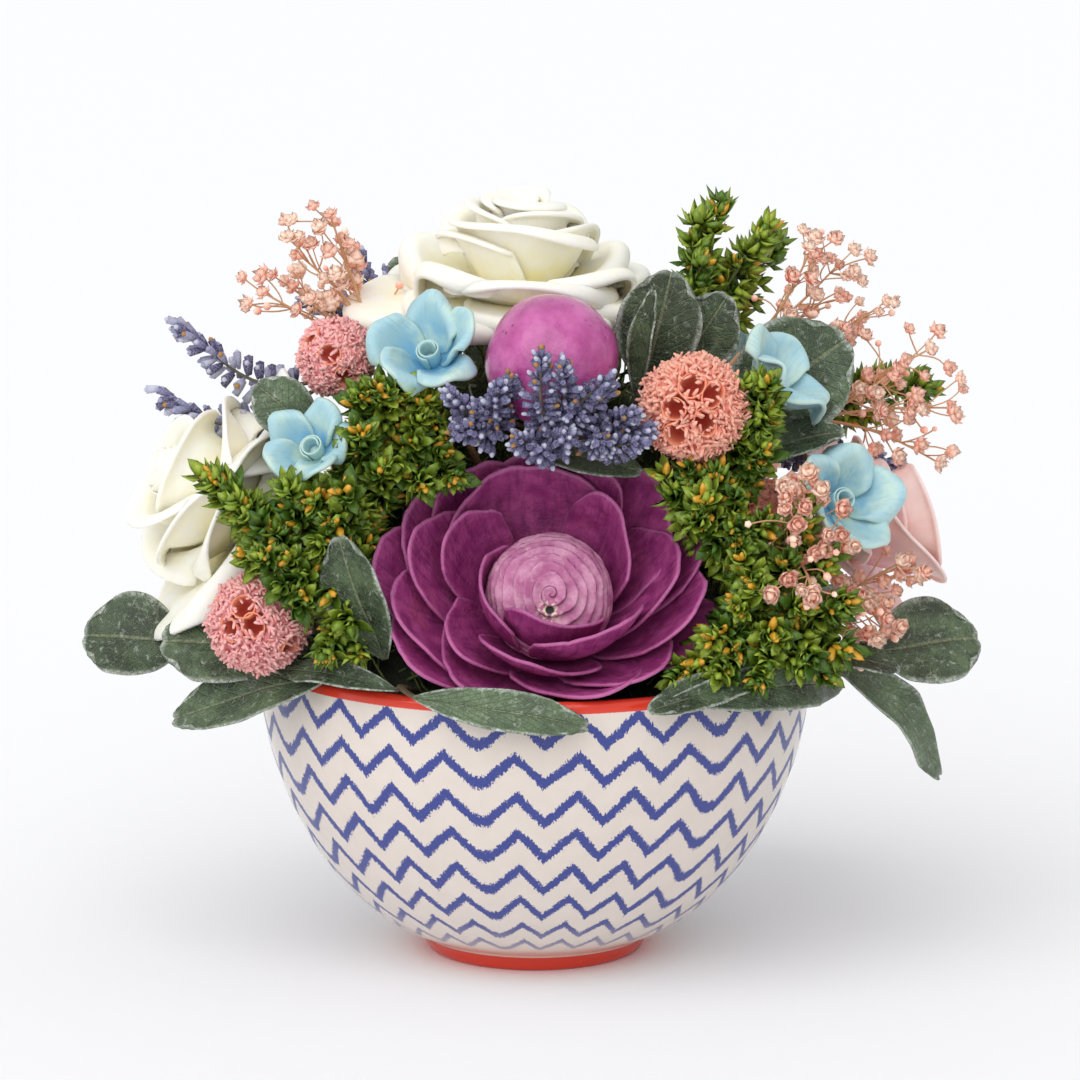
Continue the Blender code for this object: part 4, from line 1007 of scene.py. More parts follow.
# The pink rose on the right is thin and loose, with broad petals.
LOOSE_ROSE = [
    (182, 0.5, 1.06, 0.7, 6, 0.97, 6, 12), (136, 0.8, 0.7, 0.66, 2, 0.96, 12, 12),
    (236, 0.7, 0.92, 0.7, 2, 0.97, 10, 12), (276, 1.0, 0.4, 0.62, -4, 0.95, 14, 16),
    (86, 0.96, 0.4, 0.6, -4, 0.95, 16, 14), (326, 0.92, 0.3, 0.6, -6, 0.94, 16, 18),
    (30, 0.92, 0.3, 0.6, -6, 0.94, 18, 16), (160, 0.42, 0.8, 0.5, 12, 0.93, 12, 18),
    (250, 0.44, 0.78, 0.5, 12, 0.93, 18, 12), (70, 0.44, 0.7, 0.5, 12, 0.92, 14, 20),
    (340, 0.44, 0.7, 0.5, 12, 0.92, 20, 14), (120, 0.24, 0.72, 0.34, 10, 0.93, 12, 16),
    (300, 0.24, 0.72, 0.34, 10, 0.93, 16, 12),
]
print("petals in the tables:", [len(table) for table in (OPEN_ROSE, TOP_ROSE, LEFT_ROSE, LOOSE_ROSE)])

# %% [markdown]
# ### Petal sheet
#
# The sheet is soft and matt. It is deeper in colour at the foot of a petal, where petals shade each other,
# and lighter on the rolled lip, with faint veins along it. The white and pink sheets let a little light
# through, which a weak subsurface gives. The blue flowers share this finish with their own colours.

# %% Finish of a petal


def petal_finish(name, slot, deep, mid, light, roughness=0.55, vein=0.1, **constants):
    """Soft petal sheet: deeper colour at its foot, faint veins, a fine soft grain."""
    made = Finish(name, slot, roughness=roughness, **constants)
    place = made.place()
    across, along = made.way()
    tone = made.tone()
    veins = made.noise(made.vector(across * 30, along * 3, tone * 9), 1.0, 2.0, 0.6, 0.3)
    cloud = made.noise(place, 9.0, 3.0)
    edge = (abs((across - 0.5) * 2) ** 24).larger(along.over(0.95, 1.0))
    colour = made.coats(
        made.mix(along.over(0.0, 0.75), deep, mid),
        (cloud.over(0.4, 0.75), light),
        (veins.over(0.5, 0.7) * vein, deep),
        (edge * 0.5, light),
        (tone.over(2.0, 2.1), PICK_WOOD),
    )
    made.apply(colour, veins, 0.12, cloud * 0.15 + (roughness - 0.08))
    return made


SOFT = dict(subsurface_weight=0.35, subsurface_radius=(1.0, 0.8, 0.45), subsurface_scale=0.004)
ivory = petal_finish("ivory_petal", "cream_petal", (250, 238, 176), (254, 250, 232), (255, 253, 243), **SOFT)
pink = petal_finish("blush_petal", "pink_petal", (236, 168, 172), (244, 202, 200), (250, 220, 216), **SOFT)

# %% Four roses
# Each rose: its node, base, axis, size, table, lip, seed and fineness, its finish and what else it needs.
ROSES = {
    "rose_top": (
        ("white_rose_top", (-5, 10, 178), (0.02, -0.12, 1.0), 45, TOP_ROSE, 0.055, 11, 29),
        (ivory, dict(bud=0.58)),
    ),
    "rose_left": (
        ("white_rose_left", (-75, 0, 121), (-0.86, -0.20, 0.44), 39, LEFT_ROSE, 0.105, 12, 34),
        (ivory, dict(limit=2.5, bud=0.84, soft=0.45)),
    ),
    "rose_right": (
        ("pink_rose_right", (79, 8, 112), (0.86, -0.16, 0.36), 31, LOOSE_ROSE, 0.07, 13, 25),
        (pink, dict(ruffle=0.07, limit=0.8, bud=0.7)),
    ),
    "rose_back": (
        ("pink_rose_back", (-8.2, 50, 119.6), (-0.08, 0.76, 0.64), 38, OPEN_ROSE, 0.05, 14, 26),
        (pink, dict(ruffle=0.05, limit=2.0)),
    ),
}
for name, (form, (look, more)) in ROSES.items():
    add_piece(name, rose(*form, **more), look, form[0])

# %% [markdown]
# ## The dyed pod
#
# A smooth hollow pod, dyed orchid pink and varnished. A UV sphere with a displacement would give it, and
# so does a half circle turned about the axis, whose points a soft noise pushes in as shallow dents. The
# varnish is a coat over the dye, and a few pores are dark specks.

# %% Pod
POD_RADIUS = 17.7


def ball_line(radius, count):
    """A half circle of count points from pole to pole, which stops two degrees short of each."""
    arc = np.radians(np.linspace(-88, 88, count))
    return np.stack([np.cos(arc), np.sin(arc)], 1) * radius


def dents(points):
    """Pushes the pod in by a soft noise of two sizes."""
    lift = value_noise(points, 9.0, 5) * 0.45 + value_noise(points, 3.0, 6) * 0.08 - 0.2
    return unit(points) * lift[:, None]


pod = turned([(0, -POD_RADIUS), *ball_line(POD_RADIUS, 44), (0, POD_RADIUS)], 72, 0.0, dents)
pod.moved((4.5, -39, 168), frames((0.25, -0.6, 0.76)))
pod.join(pick("purple_ball", (4.5, -33, 155)))
varnish = dict(specular_ior_level=0.5, coat_weight=0.6, coat_roughness=0.1)
orchid = Finish("varnished_pod", "orchid_pod", roughness=0.3, **varnish)
place = orchid.place()
cloud = orchid.noise(place, 8.0, 4.0, 0.6)
speck = (1 - orchid.cells(place, 2.6).over(0.10, 0.18)) * orchid.noise(place, 5.0).over(0.5, 0.6)
colour = orchid.coats(
    orchid.mix(cloud.over(0.3, 0.75), (172, 58, 134), (208, 104, 172)),
    (speck * 0.8, (84, 26, 66)),
    (orchid.tone().over(2.0, 2.1), PICK_WOOD),
)
orchid.apply(colour, orchid.noise(place, 2.2, 5.0, 0.65) - speck * 0.4, 0.5, cloud * 0.15 + 0.22)
add_piece("pod", pod, orchid, "purple_ball")

# %% [markdown]
# ## Blue flowers
#
# Small flowers of thick sky-blue petals that fade to mint, round a rolled tube. Five copies of one petal
# would look stamped out, so the shared petal formula is run five times with a seeded random size, rise
# and fold. The tube is a narrow sheet wound in a spiral.

# %% Blue flowers


def blue_flower(node, base, axis, size, spin, seed):
    """Five thick petals with rolled corners and a wound tube, on a pick."""
    draw = np.random.default_rng(seed)
    flower = Shape()
    for k in range(5):
        rise = draw.uniform(-10, 18)
        azimuth = k * 72 + draw.uniform(-5, 5)
        length, width = size * draw.uniform(1.0, 1.12), size * draw.uniform(0.42, 0.52)
        headings = (24, 50 + rise, 40 + rise)
        shape = (0.16, 1.1, 21, 19)
        blade = petal(azimuth, (2.0, 0.5), length, width, headings, *shape, cup=0.05 * size, crowd=0.8)
        blade = ruffled(blade, 1.6, 9.0, int(draw.integers(99)))
        folds = (draw.uniform(0.84, 0.98), draw.uniform(20, 50), draw.uniform(20, 50))
        blade = fold_corners(blade, *folds, 2.0, 1.5, 1.7)
        flower.join(thicken(blade, 1.2, draw.uniform(0, 0.8)))
    flower.join(wound_tube(2.6, 0.46 * size, 1.7, 6, 32))
    throat = [(0, -1.5), (2.2, -1.0), (2.6, 0.5), (2.2, 1.6), (1.2, 0.2 * size), (0, 0.22 * size)]
    flower.join(turned(throat, 16, 0.95))
    return on_pick(flower, node, base, axis, math.radians(spin))


sky = petal_finish("sky_petal", "blue_petal", (108, 172, 208), (164, 203, 212), (200, 223, 209), 0.5, 0.3)
# Each flower: its base, its axis, its size and its spin.
BLUE = [
    ((-27, -31, 166), (-0.15, -0.72, 0.64), 17, 20),
    ((-57, -38, 143), (-0.30, -0.75, 0.55), 13, 10),
    ((60, -26, 157), (0.70, -0.25, 0.60), 17, 30),
    ((79, -30, 128), (0.40, -0.80, 0.40), 17, 0),
    ((46, 44, 152), (0.5, 0.6, 0.6), 17, 0),
]
for number, flower in enumerate(BLUE, 1):
    node = f"blue_flower_{number}"
    add_piece(f"blue_petals_{number}", blue_flower(node, *flower, 20 + number), sky, node)

# %% [markdown]
# ## Coral seed heads
#
# Each head is a ball of short crumbly curls with round pits in it, smooth and orange inside. A particle
# system could scatter the curls, but it knows nothing of the pits. Here the ball is turned and pressed in
# at the pits, and a curl stands at each point of a golden spiral that lies in no pit.

# %% Copies of one small body


def repeat(small, places, turns, sizes, tones):
    """Copies of one small body: every point is scaled, turned and moved to its copy's place at once."""
    body = np.concatenate(small.points)
    count = len(places)
    sizes = sizes.reshape(count, 1, -1)
    points = np.einsum("nij,nkj->nki", turns, body * sizes) + places[:, None]
    uv = np.tile(np.concatenate(small.uv), (count, 1))
    tones = np.repeat(np.broadcast_to(tones, (count,)), len(body))
    return Shape().add(points, copied(small.faces, count, len(body)), uv, tones)


PIT = [
    (0, -4.6), (1.3, -4.4), (2.4, -2.6), (2.9, -0.8), (3.15, 0.5), (2.95, 0.7), (2.75, 0.4), (2.45, -0.8),
    (1.8, -2.4), (0.9, -3.3), (0, -3.5),
]
PIT_CUP = turned(PIT, 16)
print("the cup of a pit has", PIT_CUP.count, "points")

# %% Coral heads
PIT_TONE = 1.2


def coral_head(node, centre, size, pits, seed, count):
    """A pitted ball, smooth cups in its pits, its fringe of blunt crumbs, and its pick."""
    draw = np.random.default_rng(seed)
    pits = unit(np.array(pits, float))
    centre = np.array(centre, float)

    def pressed(points):
        """Pushes each point inwards where a pit lies, and in or out by a fine noise."""
        direction = unit(points)
        depth = smoothstep(0.945, 0.975, (direction @ pits.T).max(1)) * 0.36 * size
        return -direction * (depth - 0.35 * value_noise(points, 1.5, seed))[:, None]

    pole = 0.84 * size
    head = turned([(0, -pole), *ball_line(size, 32) * 0.84, (0, pole)], 60, 0.0, pressed)
    sizes = draw.uniform(0.9, 1.25, (len(pits), 3)) * [1.25, 1.0, 1] * size / 15
    turns = frames(pits, draw.uniform(0, 3, len(pits)))
    head.join(repeat(PIT_CUP, pits * size * 0.82, turns, sizes, PIT_TONE))
    directions = spread(count, draw)
    keep = (directions @ pits.T).max(1) < 0.968 + draw.uniform(-0.008, 0.010, count)
    directions = directions[keep]
    headings = unit(directions + draw.normal(0, 0.32, directions.shape))
    lengths = size * draw.uniform(0.11, 0.22, len(directions))
    lift = 0.78 + 0.035 * value_noise(directions * size, 3.0, seed)
    tones = draw.uniform(0, 0.6, len(directions))
    starts = directions * size * lift[:, None]
    head.join(curls(starts, headings, lengths, 0.62, 0.8, 3, tones, draw))
    head.moved(centre, np.eye(3))
    return head.join(pick(node, centre + unit(FOAM_HEART - centre) * size * 0.7))


print("a ball line of three points:", ball_line(1, 3).round(2).tolist())

# %% [markdown]
# ### Crumbly fringe
#
# The curls are matt, darker at their foot and lightest at their tip, and salmon on one side of the bowl and
# pinker on the other. The cups of the pits are orange and turn red inside. Vertex paint could mark all
# that, but each body already carries a tone.

# %% Finish of the fringe
coral = Finish("coral_fringe", "coral_fringe", roughness=0.85)
place = coral.place()
tone = coral.tone()
_, along = coral.way()
grain = coral.noise(place, 0.7, 3.0, 0.7)
patch = 1 - coral.parts(place)[0].over(-30, 30) * 0.7 + coral.noise(place, 6.0, 2.0) * 0.6 - 0.6
deep = coral.mix(patch.over(0.2, 0.7), (226, 106, 92), (208, 112, 120))
light = coral.mix(patch.over(0.2, 0.7), (252, 188, 166), (250, 188, 184))
colour = coral.coats(
    coral.mix((along * 0.75 + tone * 0.5 + grain * 0.3 - 0.1).over(0.05, 1.0), deep, light),
    (tone.over(1.0, 1.1), coral.mix(along.over(0.45, 0.95), (244, 160, 124), (176, 62, 44))),
    (tone.over(2.0, 2.1), PICK_WOOD),
)
coral.apply(colour, grain, 0.2)

# %% Five heads
# Each head: its centre, its radius, the directions of its pits, and how many curls it starts with.
CORAL = [
    ((-52.5, -24, 167), 11.3, [(-0.15, -0.95, 0.2), (0.25, -0.85, -0.45), (-0.7, -0.4, 0.6)], 1600),
    (
        (-72.5, -48, 100), 14.4,
        [
            (-0.05, -0.99, 0.12), (-0.27, -0.82, 0.5), (-0.57, -0.82, 0), (0.73, -0.56, -0.39),
            (-0.9, 0.1, 0.4),
        ],
        2250,
    ),
    (
        (41.2, -48, 157), 15.2,
        [
            (-0.42, -0.9, 0.11), (0.37, -0.845, 0.385), (0.21, -0.96, -0.16), (-0.37, -0.82, -0.44),
            (-0.05, -0.82, 0.57),
        ],
        2450,
    ),
    ((18, 46, 168), 13.0, [(0, 0.8, 0.5), (0.6, 0.6, 0.4), (-0.4, 0.4, 0.8)], 950),
    ((64, 46, 110), 14.0, [(0.6, 0.7, 0.2), (0.2, 0.8, 0.6), (0.9, 0.3, 0.3)], 950),
]
for number, (centre, size, pits, count) in enumerate(CORAL, 1):
    node = f"coral_head_{number}"
    add_piece(f"coral_fringe_{number}", coral_head(node, centre, size, pits, number, count), coral, node)

# %% [markdown]
# ## Preserved leaves
#
# Round gum leaves, preserved and a little dusty: grey-green, with a notch at the tip, a pale edge and a net
# of veins. A leaf could be a flat plane with a picture and a cut-out, but then its edge would be thin as
# paper from the side. Here a blade is a grid on two curves, its half-width and its arch, and is closed
# with a rounded edge. Its veins are in the finish.

# %% Leaf blades
LEAF_SHAPE = [
    (0.0, 0.1), (0.06, 0.28), (0.16, 0.58), (0.3, 0.84), (0.5, 1.0), (0.68, 1.0), (0.84, 0.93),
    (0.94, 0.78), (1.0, 0.5),
]
leaf_outline = smooth_line([(k, w, 0) for k, w in LEAF_SHAPE], 200)
STALK_TONE = 2.0


def leaf(hub, base, tip, width, face, bend, cup, seed):
    """A blade from base to tip with its stalk from the hub, whose upper side looks along face.

    t runs along it and s across it. It is raised by 4 bend length t (1 - t) for the arch and by
    cup width s squared sin(0.7 pi t) for the lifted sides, and a soft noise makes its edge wavy.
    """
    hub, base, tip = (np.array(p, float) for p in (hub, base, tip))
    length = np.linalg.norm(tip - base)
    along = (tip - base) / length
    normal = np.array(face, float)
    normal = unit(normal - along * (normal @ along))
    across = np.cross(normal, along)
    s, t = np.meshgrid(np.linspace(-1, 1, 15), np.linspace(0, 1, 26) ** 0.9)
    reach = np.interp(t, leaf_outline[:, 0], leaf_outline[:, 1]) * width / 2
    run = t - (0.02 * np.exp(-((s / 0.2) ** 2)) + 0.15 * np.abs(s) ** 3) * smoothstep(0.45, 1.0, t)
    height = 4 * bend * length * t * (1 - t) + cup * width * s * s * np.sin(t * math.pi * 0.7)
    height = height - 0.35 * np.exp(-((s / 0.08) ** 2)) * (1 - 0.6 * t)
    grid = base + (run * length)[..., None] * along + (s * reach)[..., None] * across
    grid = grid + height[..., None] * normal
    wave = value_noise(grid + seed * 7.0, 7.0, seed) * 0.9 * np.abs(s) ** 1.5
    wave = wave + value_noise(grid, 14.0, seed) * 0.9
    grid = grid + normal * (wave * smoothstep(0.0, 0.3, t))[..., None]
    stalk = smooth_line([hub, (hub + base) / 2 - normal * 0.3, base + along * 0.8], 8)
    return thicken(grid, 0.5, seed % 7 / 7).join(tubes([stalk], np.linspace(0.75, 0.6, 8), 8, STALK_TONE))


# Each twig: its hub, the points that its stem passes, and its blades with base, tip, width, the way that
# the upper side looks, bend and cup.
SPRIGS = {
    "leaf_far_left": (
        (-79, -16, 85.8), [(-58, -12, 84)],
        [((-94, -19, 88), (-122, -16, 90), 25, (0.05, -0.78, 0.62), 0.05, 0.08)],
    ),
    "leaf_front_left": (
        (-52, -42, 88), [(-46, -36, 84)],
        [
            ((-62, -33, 89), (-100, -29, 91), 27, (-0.1, -0.75, 0.65), 0.05, 0.08),
            ((-53, -53.5, 87), (-97, -36, 71.5), 19, (-0.35, -0.6, 0.72), 0.03, 0.1),
        ],
    ),
    "leaf_front_rim": (
        (-35, -68, 87), [(-28, -50, 82)],
        [
            ((-31, -77, 86), (14, -80.5, 79), 11, (0.0, -0.9, 0.45), 0.03, 0.12),
            ((-36, -70, 86.5), (-68, -48, 87.5), 8, (-0.2, -0.6, 0.75), 0.04, 0.1),
        ],
    ),
    "leaf_beside_purple": (
        (-42, -34, 96), [], [((-39, -57, 92), (-51, -59, 125), 18, (-0.5, -0.85, 0.1), 0.05, 0.12)],
    ),
    "leaf_above_purple": (
        (-6, -24, 143), [], [((-1, -34, 142.5), (28, -45, 139), 13, (0.1, -0.6, 0.8), 0.06, 0.1)],
    ),
    "leaf_dark_top": (
        (28, -20, 156), [],
        [
            ((29, -26, 160), (36, -32, 191), 22, (0.05, -0.95, 0.3), 0.05, 0.1),
            ((36, -23, 160), (51, -27, 184), 19, (0.15, -0.95, 0.3), 0.05, 0.1),
            ((26.5, -31, 158), (31, -41, 187), 6.5, (-0.3, -0.9, 0.2), 0.05, 0.45),
        ],
    ),
    "leaf_big_right": (
        (50, -8, 142), [], [((54, -7, 148), (84, -10, 170), 31, (0.1, -0.92, 0.35), 0.04, 0.08)],
    ),
    "leaf_under_blue": (
        (52, -24, 138), [], [((55, -28, 140), (82, -31, 148), 14, (0.1, -0.55, 0.8), 0.06, 0.1)],
    ),
    "leaf_far_right": (
        (77, -17, 86), [(56, -14, 84)],
        [((91, -19, 86), (120.5, -12, 88.5), 27, (0.1, -0.75, 0.65), 0.03, 0.08)],
    ),
    "leaf_low_right": (
        (70, -28, 88), [(52, -22, 84)],
        [
            ((76, -28, 88), (110, -18, 51), 15, (0.3, -0.6, 0.7), 0.12, 0.15),
            ((74, -36, 88), (97, -38, 85), 12, (0.1, -0.4, 0.9), 0.08, 0.12),
        ],
    ),
    "leaf_right_rim": (
        (56, -48, 87.5), [(40, -34, 82)],
        [
            ((60, -57, 87), (29, -77, 82), 11, (0.3, -0.55, 0.8), 0.04, 0.12),
            ((34, -73, 84), (83, -22, 78), 13, (0.6, -0.72, 0.35), 0.12, 0.12),
        ],
    ),
    "leaf_behind_blue": (
        (-50, -27, 146), [], [((-58, -29, 147), (-74, -26, 160), 15, (-0.2, -0.9, 0.4), 0.05, 0.1)],
    ),
    "leaf_back_left": (
        (-62, 36, 89), [(-46, 26, 84)],
        [
            ((-66, 42, 88), (-88, 70, 80), 21, (-0.3, 0.3, 0.9), 0.08, 0.1),
            ((-66, 34, 90), (-104, 34, 92), 19, (-0.2, 0.2, 0.9), 0.08, 0.1),
        ],
    ),
    "leaf_back_right": (
        (60, 40, 88), [(44, 28, 84)],
        [
            ((64, 48, 88), (80, 76, 78), 21, (0.3, 0.3, 0.9), 0.08, 0.1),
            ((66, 38, 88), (104, 36, 88), 20, (0.2, 0.2, 0.9), 0.08, 0.1),
        ],
    ),
    "leaf_back_rim": (
        (8, 66, 87), [(6, 44, 82)],
        [
            ((4, 70, 88), (-34, 77, 85), 15, (0.0, 0.5, 0.9), 0.05, 0.1),
            ((12, 70, 88), (42, 77, 85), 16, (0.0, 0.5, 0.9), 0.05, 0.1),
        ],
    ),
    "leaf_back_top": (
        (-20, 30, 150), [],
        [
            ((-24, 36, 154), (-38, 48, 186), 24, (-0.3, 0.9, 0.3), 0.05, 0.1),
            ((-16, 38, 154), (-8, 56, 180), 18, (0.0, 0.9, 0.3), 0.05, 0.1),
        ],
    ),
}
print("leafy twigs:", len(SPRIGS), "with", sum(len(blades) for *_, blades in SPRIGS.values()), "leaves")

# %% [markdown]
# ### Leaf finish
#
# The veins of a leaf follow its UV pair: a rib down the middle and branches that slant off it, with a net
# of cells between them. Dust lies in patches and along the edge, and lightens the green most where the
# preserved leaf has dried.

# %% Dusty leaf
dusty = Finish("dusty_leaf", "preserved_leaf", roughness=0.45)
place = dusty.place()
across, along = dusty.way()
tone = dusty.tone()
side = abs(across - 0.5) * 2
rib = 1 - side.over(0.02, 0.07)
branch = 1 - abs((along * 9 - side * 3.2).fract() - 0.5).over(0.02, 0.09)
net = 1 - dusty.cells(place, 1.5, "DISTANCE_TO_EDGE").over(0.02, 0.10)
cloud = dusty.noise(place, 7.0, 5.0, 0.65)
dust = dusty.noise(place, 2.0, 5.0, 0.75, 0.6)
frost = side.over(0.84, 1.0).larger(along.over(0.95, 1.0)) * 0.8 + dust.over(0.54, 0.70) * 0.6
colour = dusty.coats(
    dusty.mix(cloud.over(0.35, 0.65), (36, 50, 32), (92, 112, 78)),
    (tone.over(0.3, 0.9) * 0.35, (116, 138, 104)),
    ((1 - tone.over(0.05, 0.5)) * 0.5, (34, 46, 30)),
    (net * 0.25 + branch * 0.3, (134, 148, 120)),
    (rib * 0.6, (134, 140, 108)),
    (frost * dust.over(0.3, 0.6), (190, 198, 186)),
    (tone.over(1.0, 1.1), (96, 84, 62)),
)
dusty.apply(colour, rib * -0.8 - branch * 0.5 - net * 0.4 + dust * 0.6, 0.5, cloud * 0.3 + 0.28)
for number, (node, (hub, via, blades)) in enumerate(SPRIGS.items()):
    sprig = tubes([stem_line(node, hub, via)], 0.75, 8, STALK_TONE)
    for k, blade in enumerate(blades):
        sprig.join(leaf(hub, *blade, number * 3 + k))
    add_piece(f"{node}_blades", sprig, dusty, node)

# %% [markdown]
# ## Green bunches
#
# The green bunches are spikes of tiny pointed bracts that sit in rosettes, with a golden bud in many of
# them. Growing them with geometry nodes would work as well, but their places are easy to work out: rings
# of rosettes along each spike, each turned by the golden angle. One cupped bract of twelve triangles is
# then repeated in all of them.

# %% Bract and bud


def cupped_bract(length, width, cup, thickness=0.16):
    """A pointed bract along +Z that is hollow towards +X: a six-sided outline, and one point inside and
    one outside for its keel, each joined to the outline by a fan of six triangles."""
    half, shoulder = width / 2, width * 0.36
    outline = [(0, 0, 0), (0, -half, 0.38 * length), (0, -shoulder, 0.7 * length), (0.25 * cup, 0, length)]
    outline += [(0, shoulder, 0.7 * length), (0, half, 0.38 * length)]
    keel = np.array([-cup, 0, 0.5 * length])
    points = np.array([*outline, keel + [thickness / 2, 0, 0], keel - [thickness, 0, 0]])
    k = np.arange(6)
    after = (k + 1) % 6
    fans = [np.stack([after, k, np.full(6, 6)], 1), np.stack([k, after, np.full(6, 7)], 1)]
    return Shape().add(points, fans, points[:, 1:] / [[width, length]] + [0.5, 0])


BRACT = cupped_bract(5.6, 2.9, 1.0)
BUD = turned([(0, 0.6), (0.7, 0.9), (1.12, 2.3), (0.75, 4.2), (0, 5.5)], 5)
print("a bract has", BRACT.count, "points and a bud has", BUD.count)

# %% Forked stems, and rosettes along them


def stem_forks(node, hub, tips, seed, radius=0.7, bend=1.0, via=(), aside=0.0):
    """The stem from the foam to the hub, and a branch from the hub to each tip, bowed a little or aside.

    A branch is hub + (tip - hub) t + bow sin(pi t).
    """
    draw = np.random.default_rng(seed)
    forks = tubes([stem_line(node, hub, via)], radius, 7, STALK_TONE)
    t = np.linspace(0, 1, 12)[None, :, None]
    tips = tips[:, None]
    aside = np.asarray(aside, float).reshape(-1, 1, 3) if np.ndim(aside) else 0.0
    bow = (draw.normal(0, bend, tips.shape) + aside) * np.sin(t * math.pi)
    paths = hub + (tips - hub) * t + bow
    forks.join(tubes(paths, radius * np.linspace(0.95, 0.45, 12), 6, STALK_TONE))
    return forks, paths


def rosettes(paths, start, pitch, per_ring, offset, splay, draw):
    """Places and directions round a set of paths: rings a pitch apart, turned by the golden angle."""
    places, directions = [], []
    for path in paths:
        chord = np.concatenate([[0], np.cumsum(np.linalg.norm(np.diff(path, axis=0), axis=1))])
        rings = np.arange(start * chord[-1], chord[-1], pitch)
        at = np.repeat(rings, per_ring) + draw.uniform(-0.3, 0.3, len(rings) * per_ring) * pitch
        centre = np.stack([np.interp(at, chord, path[:, k]) for k in range(3)], 1)
        along = unit(path[-1] - path[0])
        golden = np.repeat(np.arange(len(rings)), per_ring) * 2.4
        angle = np.arange(len(at)) * math.tau / per_ring + golden
        basis = frames(along)
        out = np.cos(angle)[:, None] * basis[:, 0] + np.sin(angle)[:, None] * basis[:, 1]
        share = np.clip((chord[-1] - at) / (0.35 * chord[-1] + 4), 0.25, 1)[:, None]
        places += [centre + out * offset * share, path[-1:]]
        directions += [unit(out * splay * (0.4 + 0.6 * share) + along * (1.15 - splay * share)), along[None]]
    return np.concatenate(places), np.concatenate(directions)


def ring_of(small, places, directions, count, lean, sizes, tones, draw):
    """count copies of a small body round each place, leaning outwards from its direction by lean degrees.

    With x, y and z the columns of an upright copy, a lean a gives z sin a - x cos a, -y and
    z cos a + x sin a.
    """
    start = draw.uniform(0, math.tau, len(places)).repeat(count)
    spins = start + np.tile(np.arange(count), len(places)) * math.tau / count
    turns = frames(np.repeat(directions, count, axis=0), spins)
    lean = np.radians(lean + draw.normal(0, 9, len(turns)))
    x, y, z = turns[..., 0], turns[..., 1], turns[..., 2]
    cos, sin = np.cos(lean)[:, None], np.sin(lean)[:, None]
    turns = np.stack([x * -cos + z * sin, -y, z * cos + x * sin], -1)
    sizes = np.repeat(sizes, count) * draw.uniform(0.8, 1.2, len(turns))
    tones = np.repeat(tones, count) + draw.uniform(-0.12, 0.12, len(turns))
    return repeat(small, places.repeat(count, 0), turns, sizes, tones)


spike = [np.linspace((0, 0, 0), (0, 0, 40), 12)]
places, _ = rosettes(spike, 0.3, 5.4, 3, 2.6, 0.8, np.random.default_rng(0))
print("places along a spike of 40 mm:", len(places))

# %% A green bunch
BUD_TONE = 1.5


def green_bunch(node, hub, tips, seed, bare):
    """Spikes of bract rosettes on a forked stem, each spike with a few slighter companions. bare is the
    share of a branch that has no bracts."""
    draw = np.random.default_rng(seed)
    hub, tips = np.array(hub, float), np.array(tips, float)
    extra = tips[::3]
    extra = hub + (extra - hub) * draw.uniform(0.70, 0.92, (len(extra), 1)) + draw.normal(0, 3.6, extra.shape)
    bunch, paths = stem_forks(node, hub, np.concatenate([tips, extra]), seed)
    places, directions = rosettes(paths, bare, 5.4, 3, 2.6, 0.8, draw)
    sizes = draw.uniform(0.85, 1.25, len(places))
    tones = draw.uniform(0.0, 0.8, len(places))
    bunch.join(ring_of(BRACT, places, directions, 4, 46, sizes, tones, draw))
    bunch.join(ring_of(BRACT, places, directions, 2, 16, sizes * 0.9, tones + 0.1, draw))
    golden = draw.uniform(0, 1, len(places)) < 0.36
    tones = np.full(golden.sum(), BUD_TONE)
    buds = ring_of(BUD, places[golden], directions[golden], 2, 24, sizes[golden] * 0.85, tones, draw)
    return bunch.join(buds)


trial = green_bunch("green_right", (74, 18, 144), [(108, 20, 152)], 1, 0.3)
print("a bunch of one spike has", trial.count, "points")


# %% [markdown]
# ### Bract finish
#
# Bracts run from leaf green to yellow-green, each with its own tone. They are browner at their foot and
# paler at their edges. The buds go from green at the foot to gold at the tip.

# %% Green bracts
bracts = Finish("green_bract", "green_bract", roughness=0.34)
place = bracts.place()
tone = bracts.tone()
across, along = bracts.way()
side = abs(across - 0.5) * 2
grain = bracts.noise(place, 1.2, 3.0, 0.6)
gold = bracts.mix(along.over(0.15, 0.6), (132, 146, 44), (224, 168, 52))
colour = bracts.coats(
    bracts.mix(tone.over(0.0, 0.8), (74, 118, 30), (168, 192, 62)),
    ((1 - side) * (1 - along) * 0.6, (70, 66, 22)),
    (side.over(0.5, 1.0) * along.over(0.3, 1.0) * 0.6, (196, 216, 112)),
    (grain.over(0.5, 0.8) * 0.4, (104, 124, 36)),
    (tone.over(1.1, 1.2), bracts.mix(grain.over(0.45, 0.75) * 0.5, gold, (176, 98, 36))),
    (tone.over(1.8, 1.9), (104, 110, 50)),
)
bracts.apply(colour, grain, 0.15)

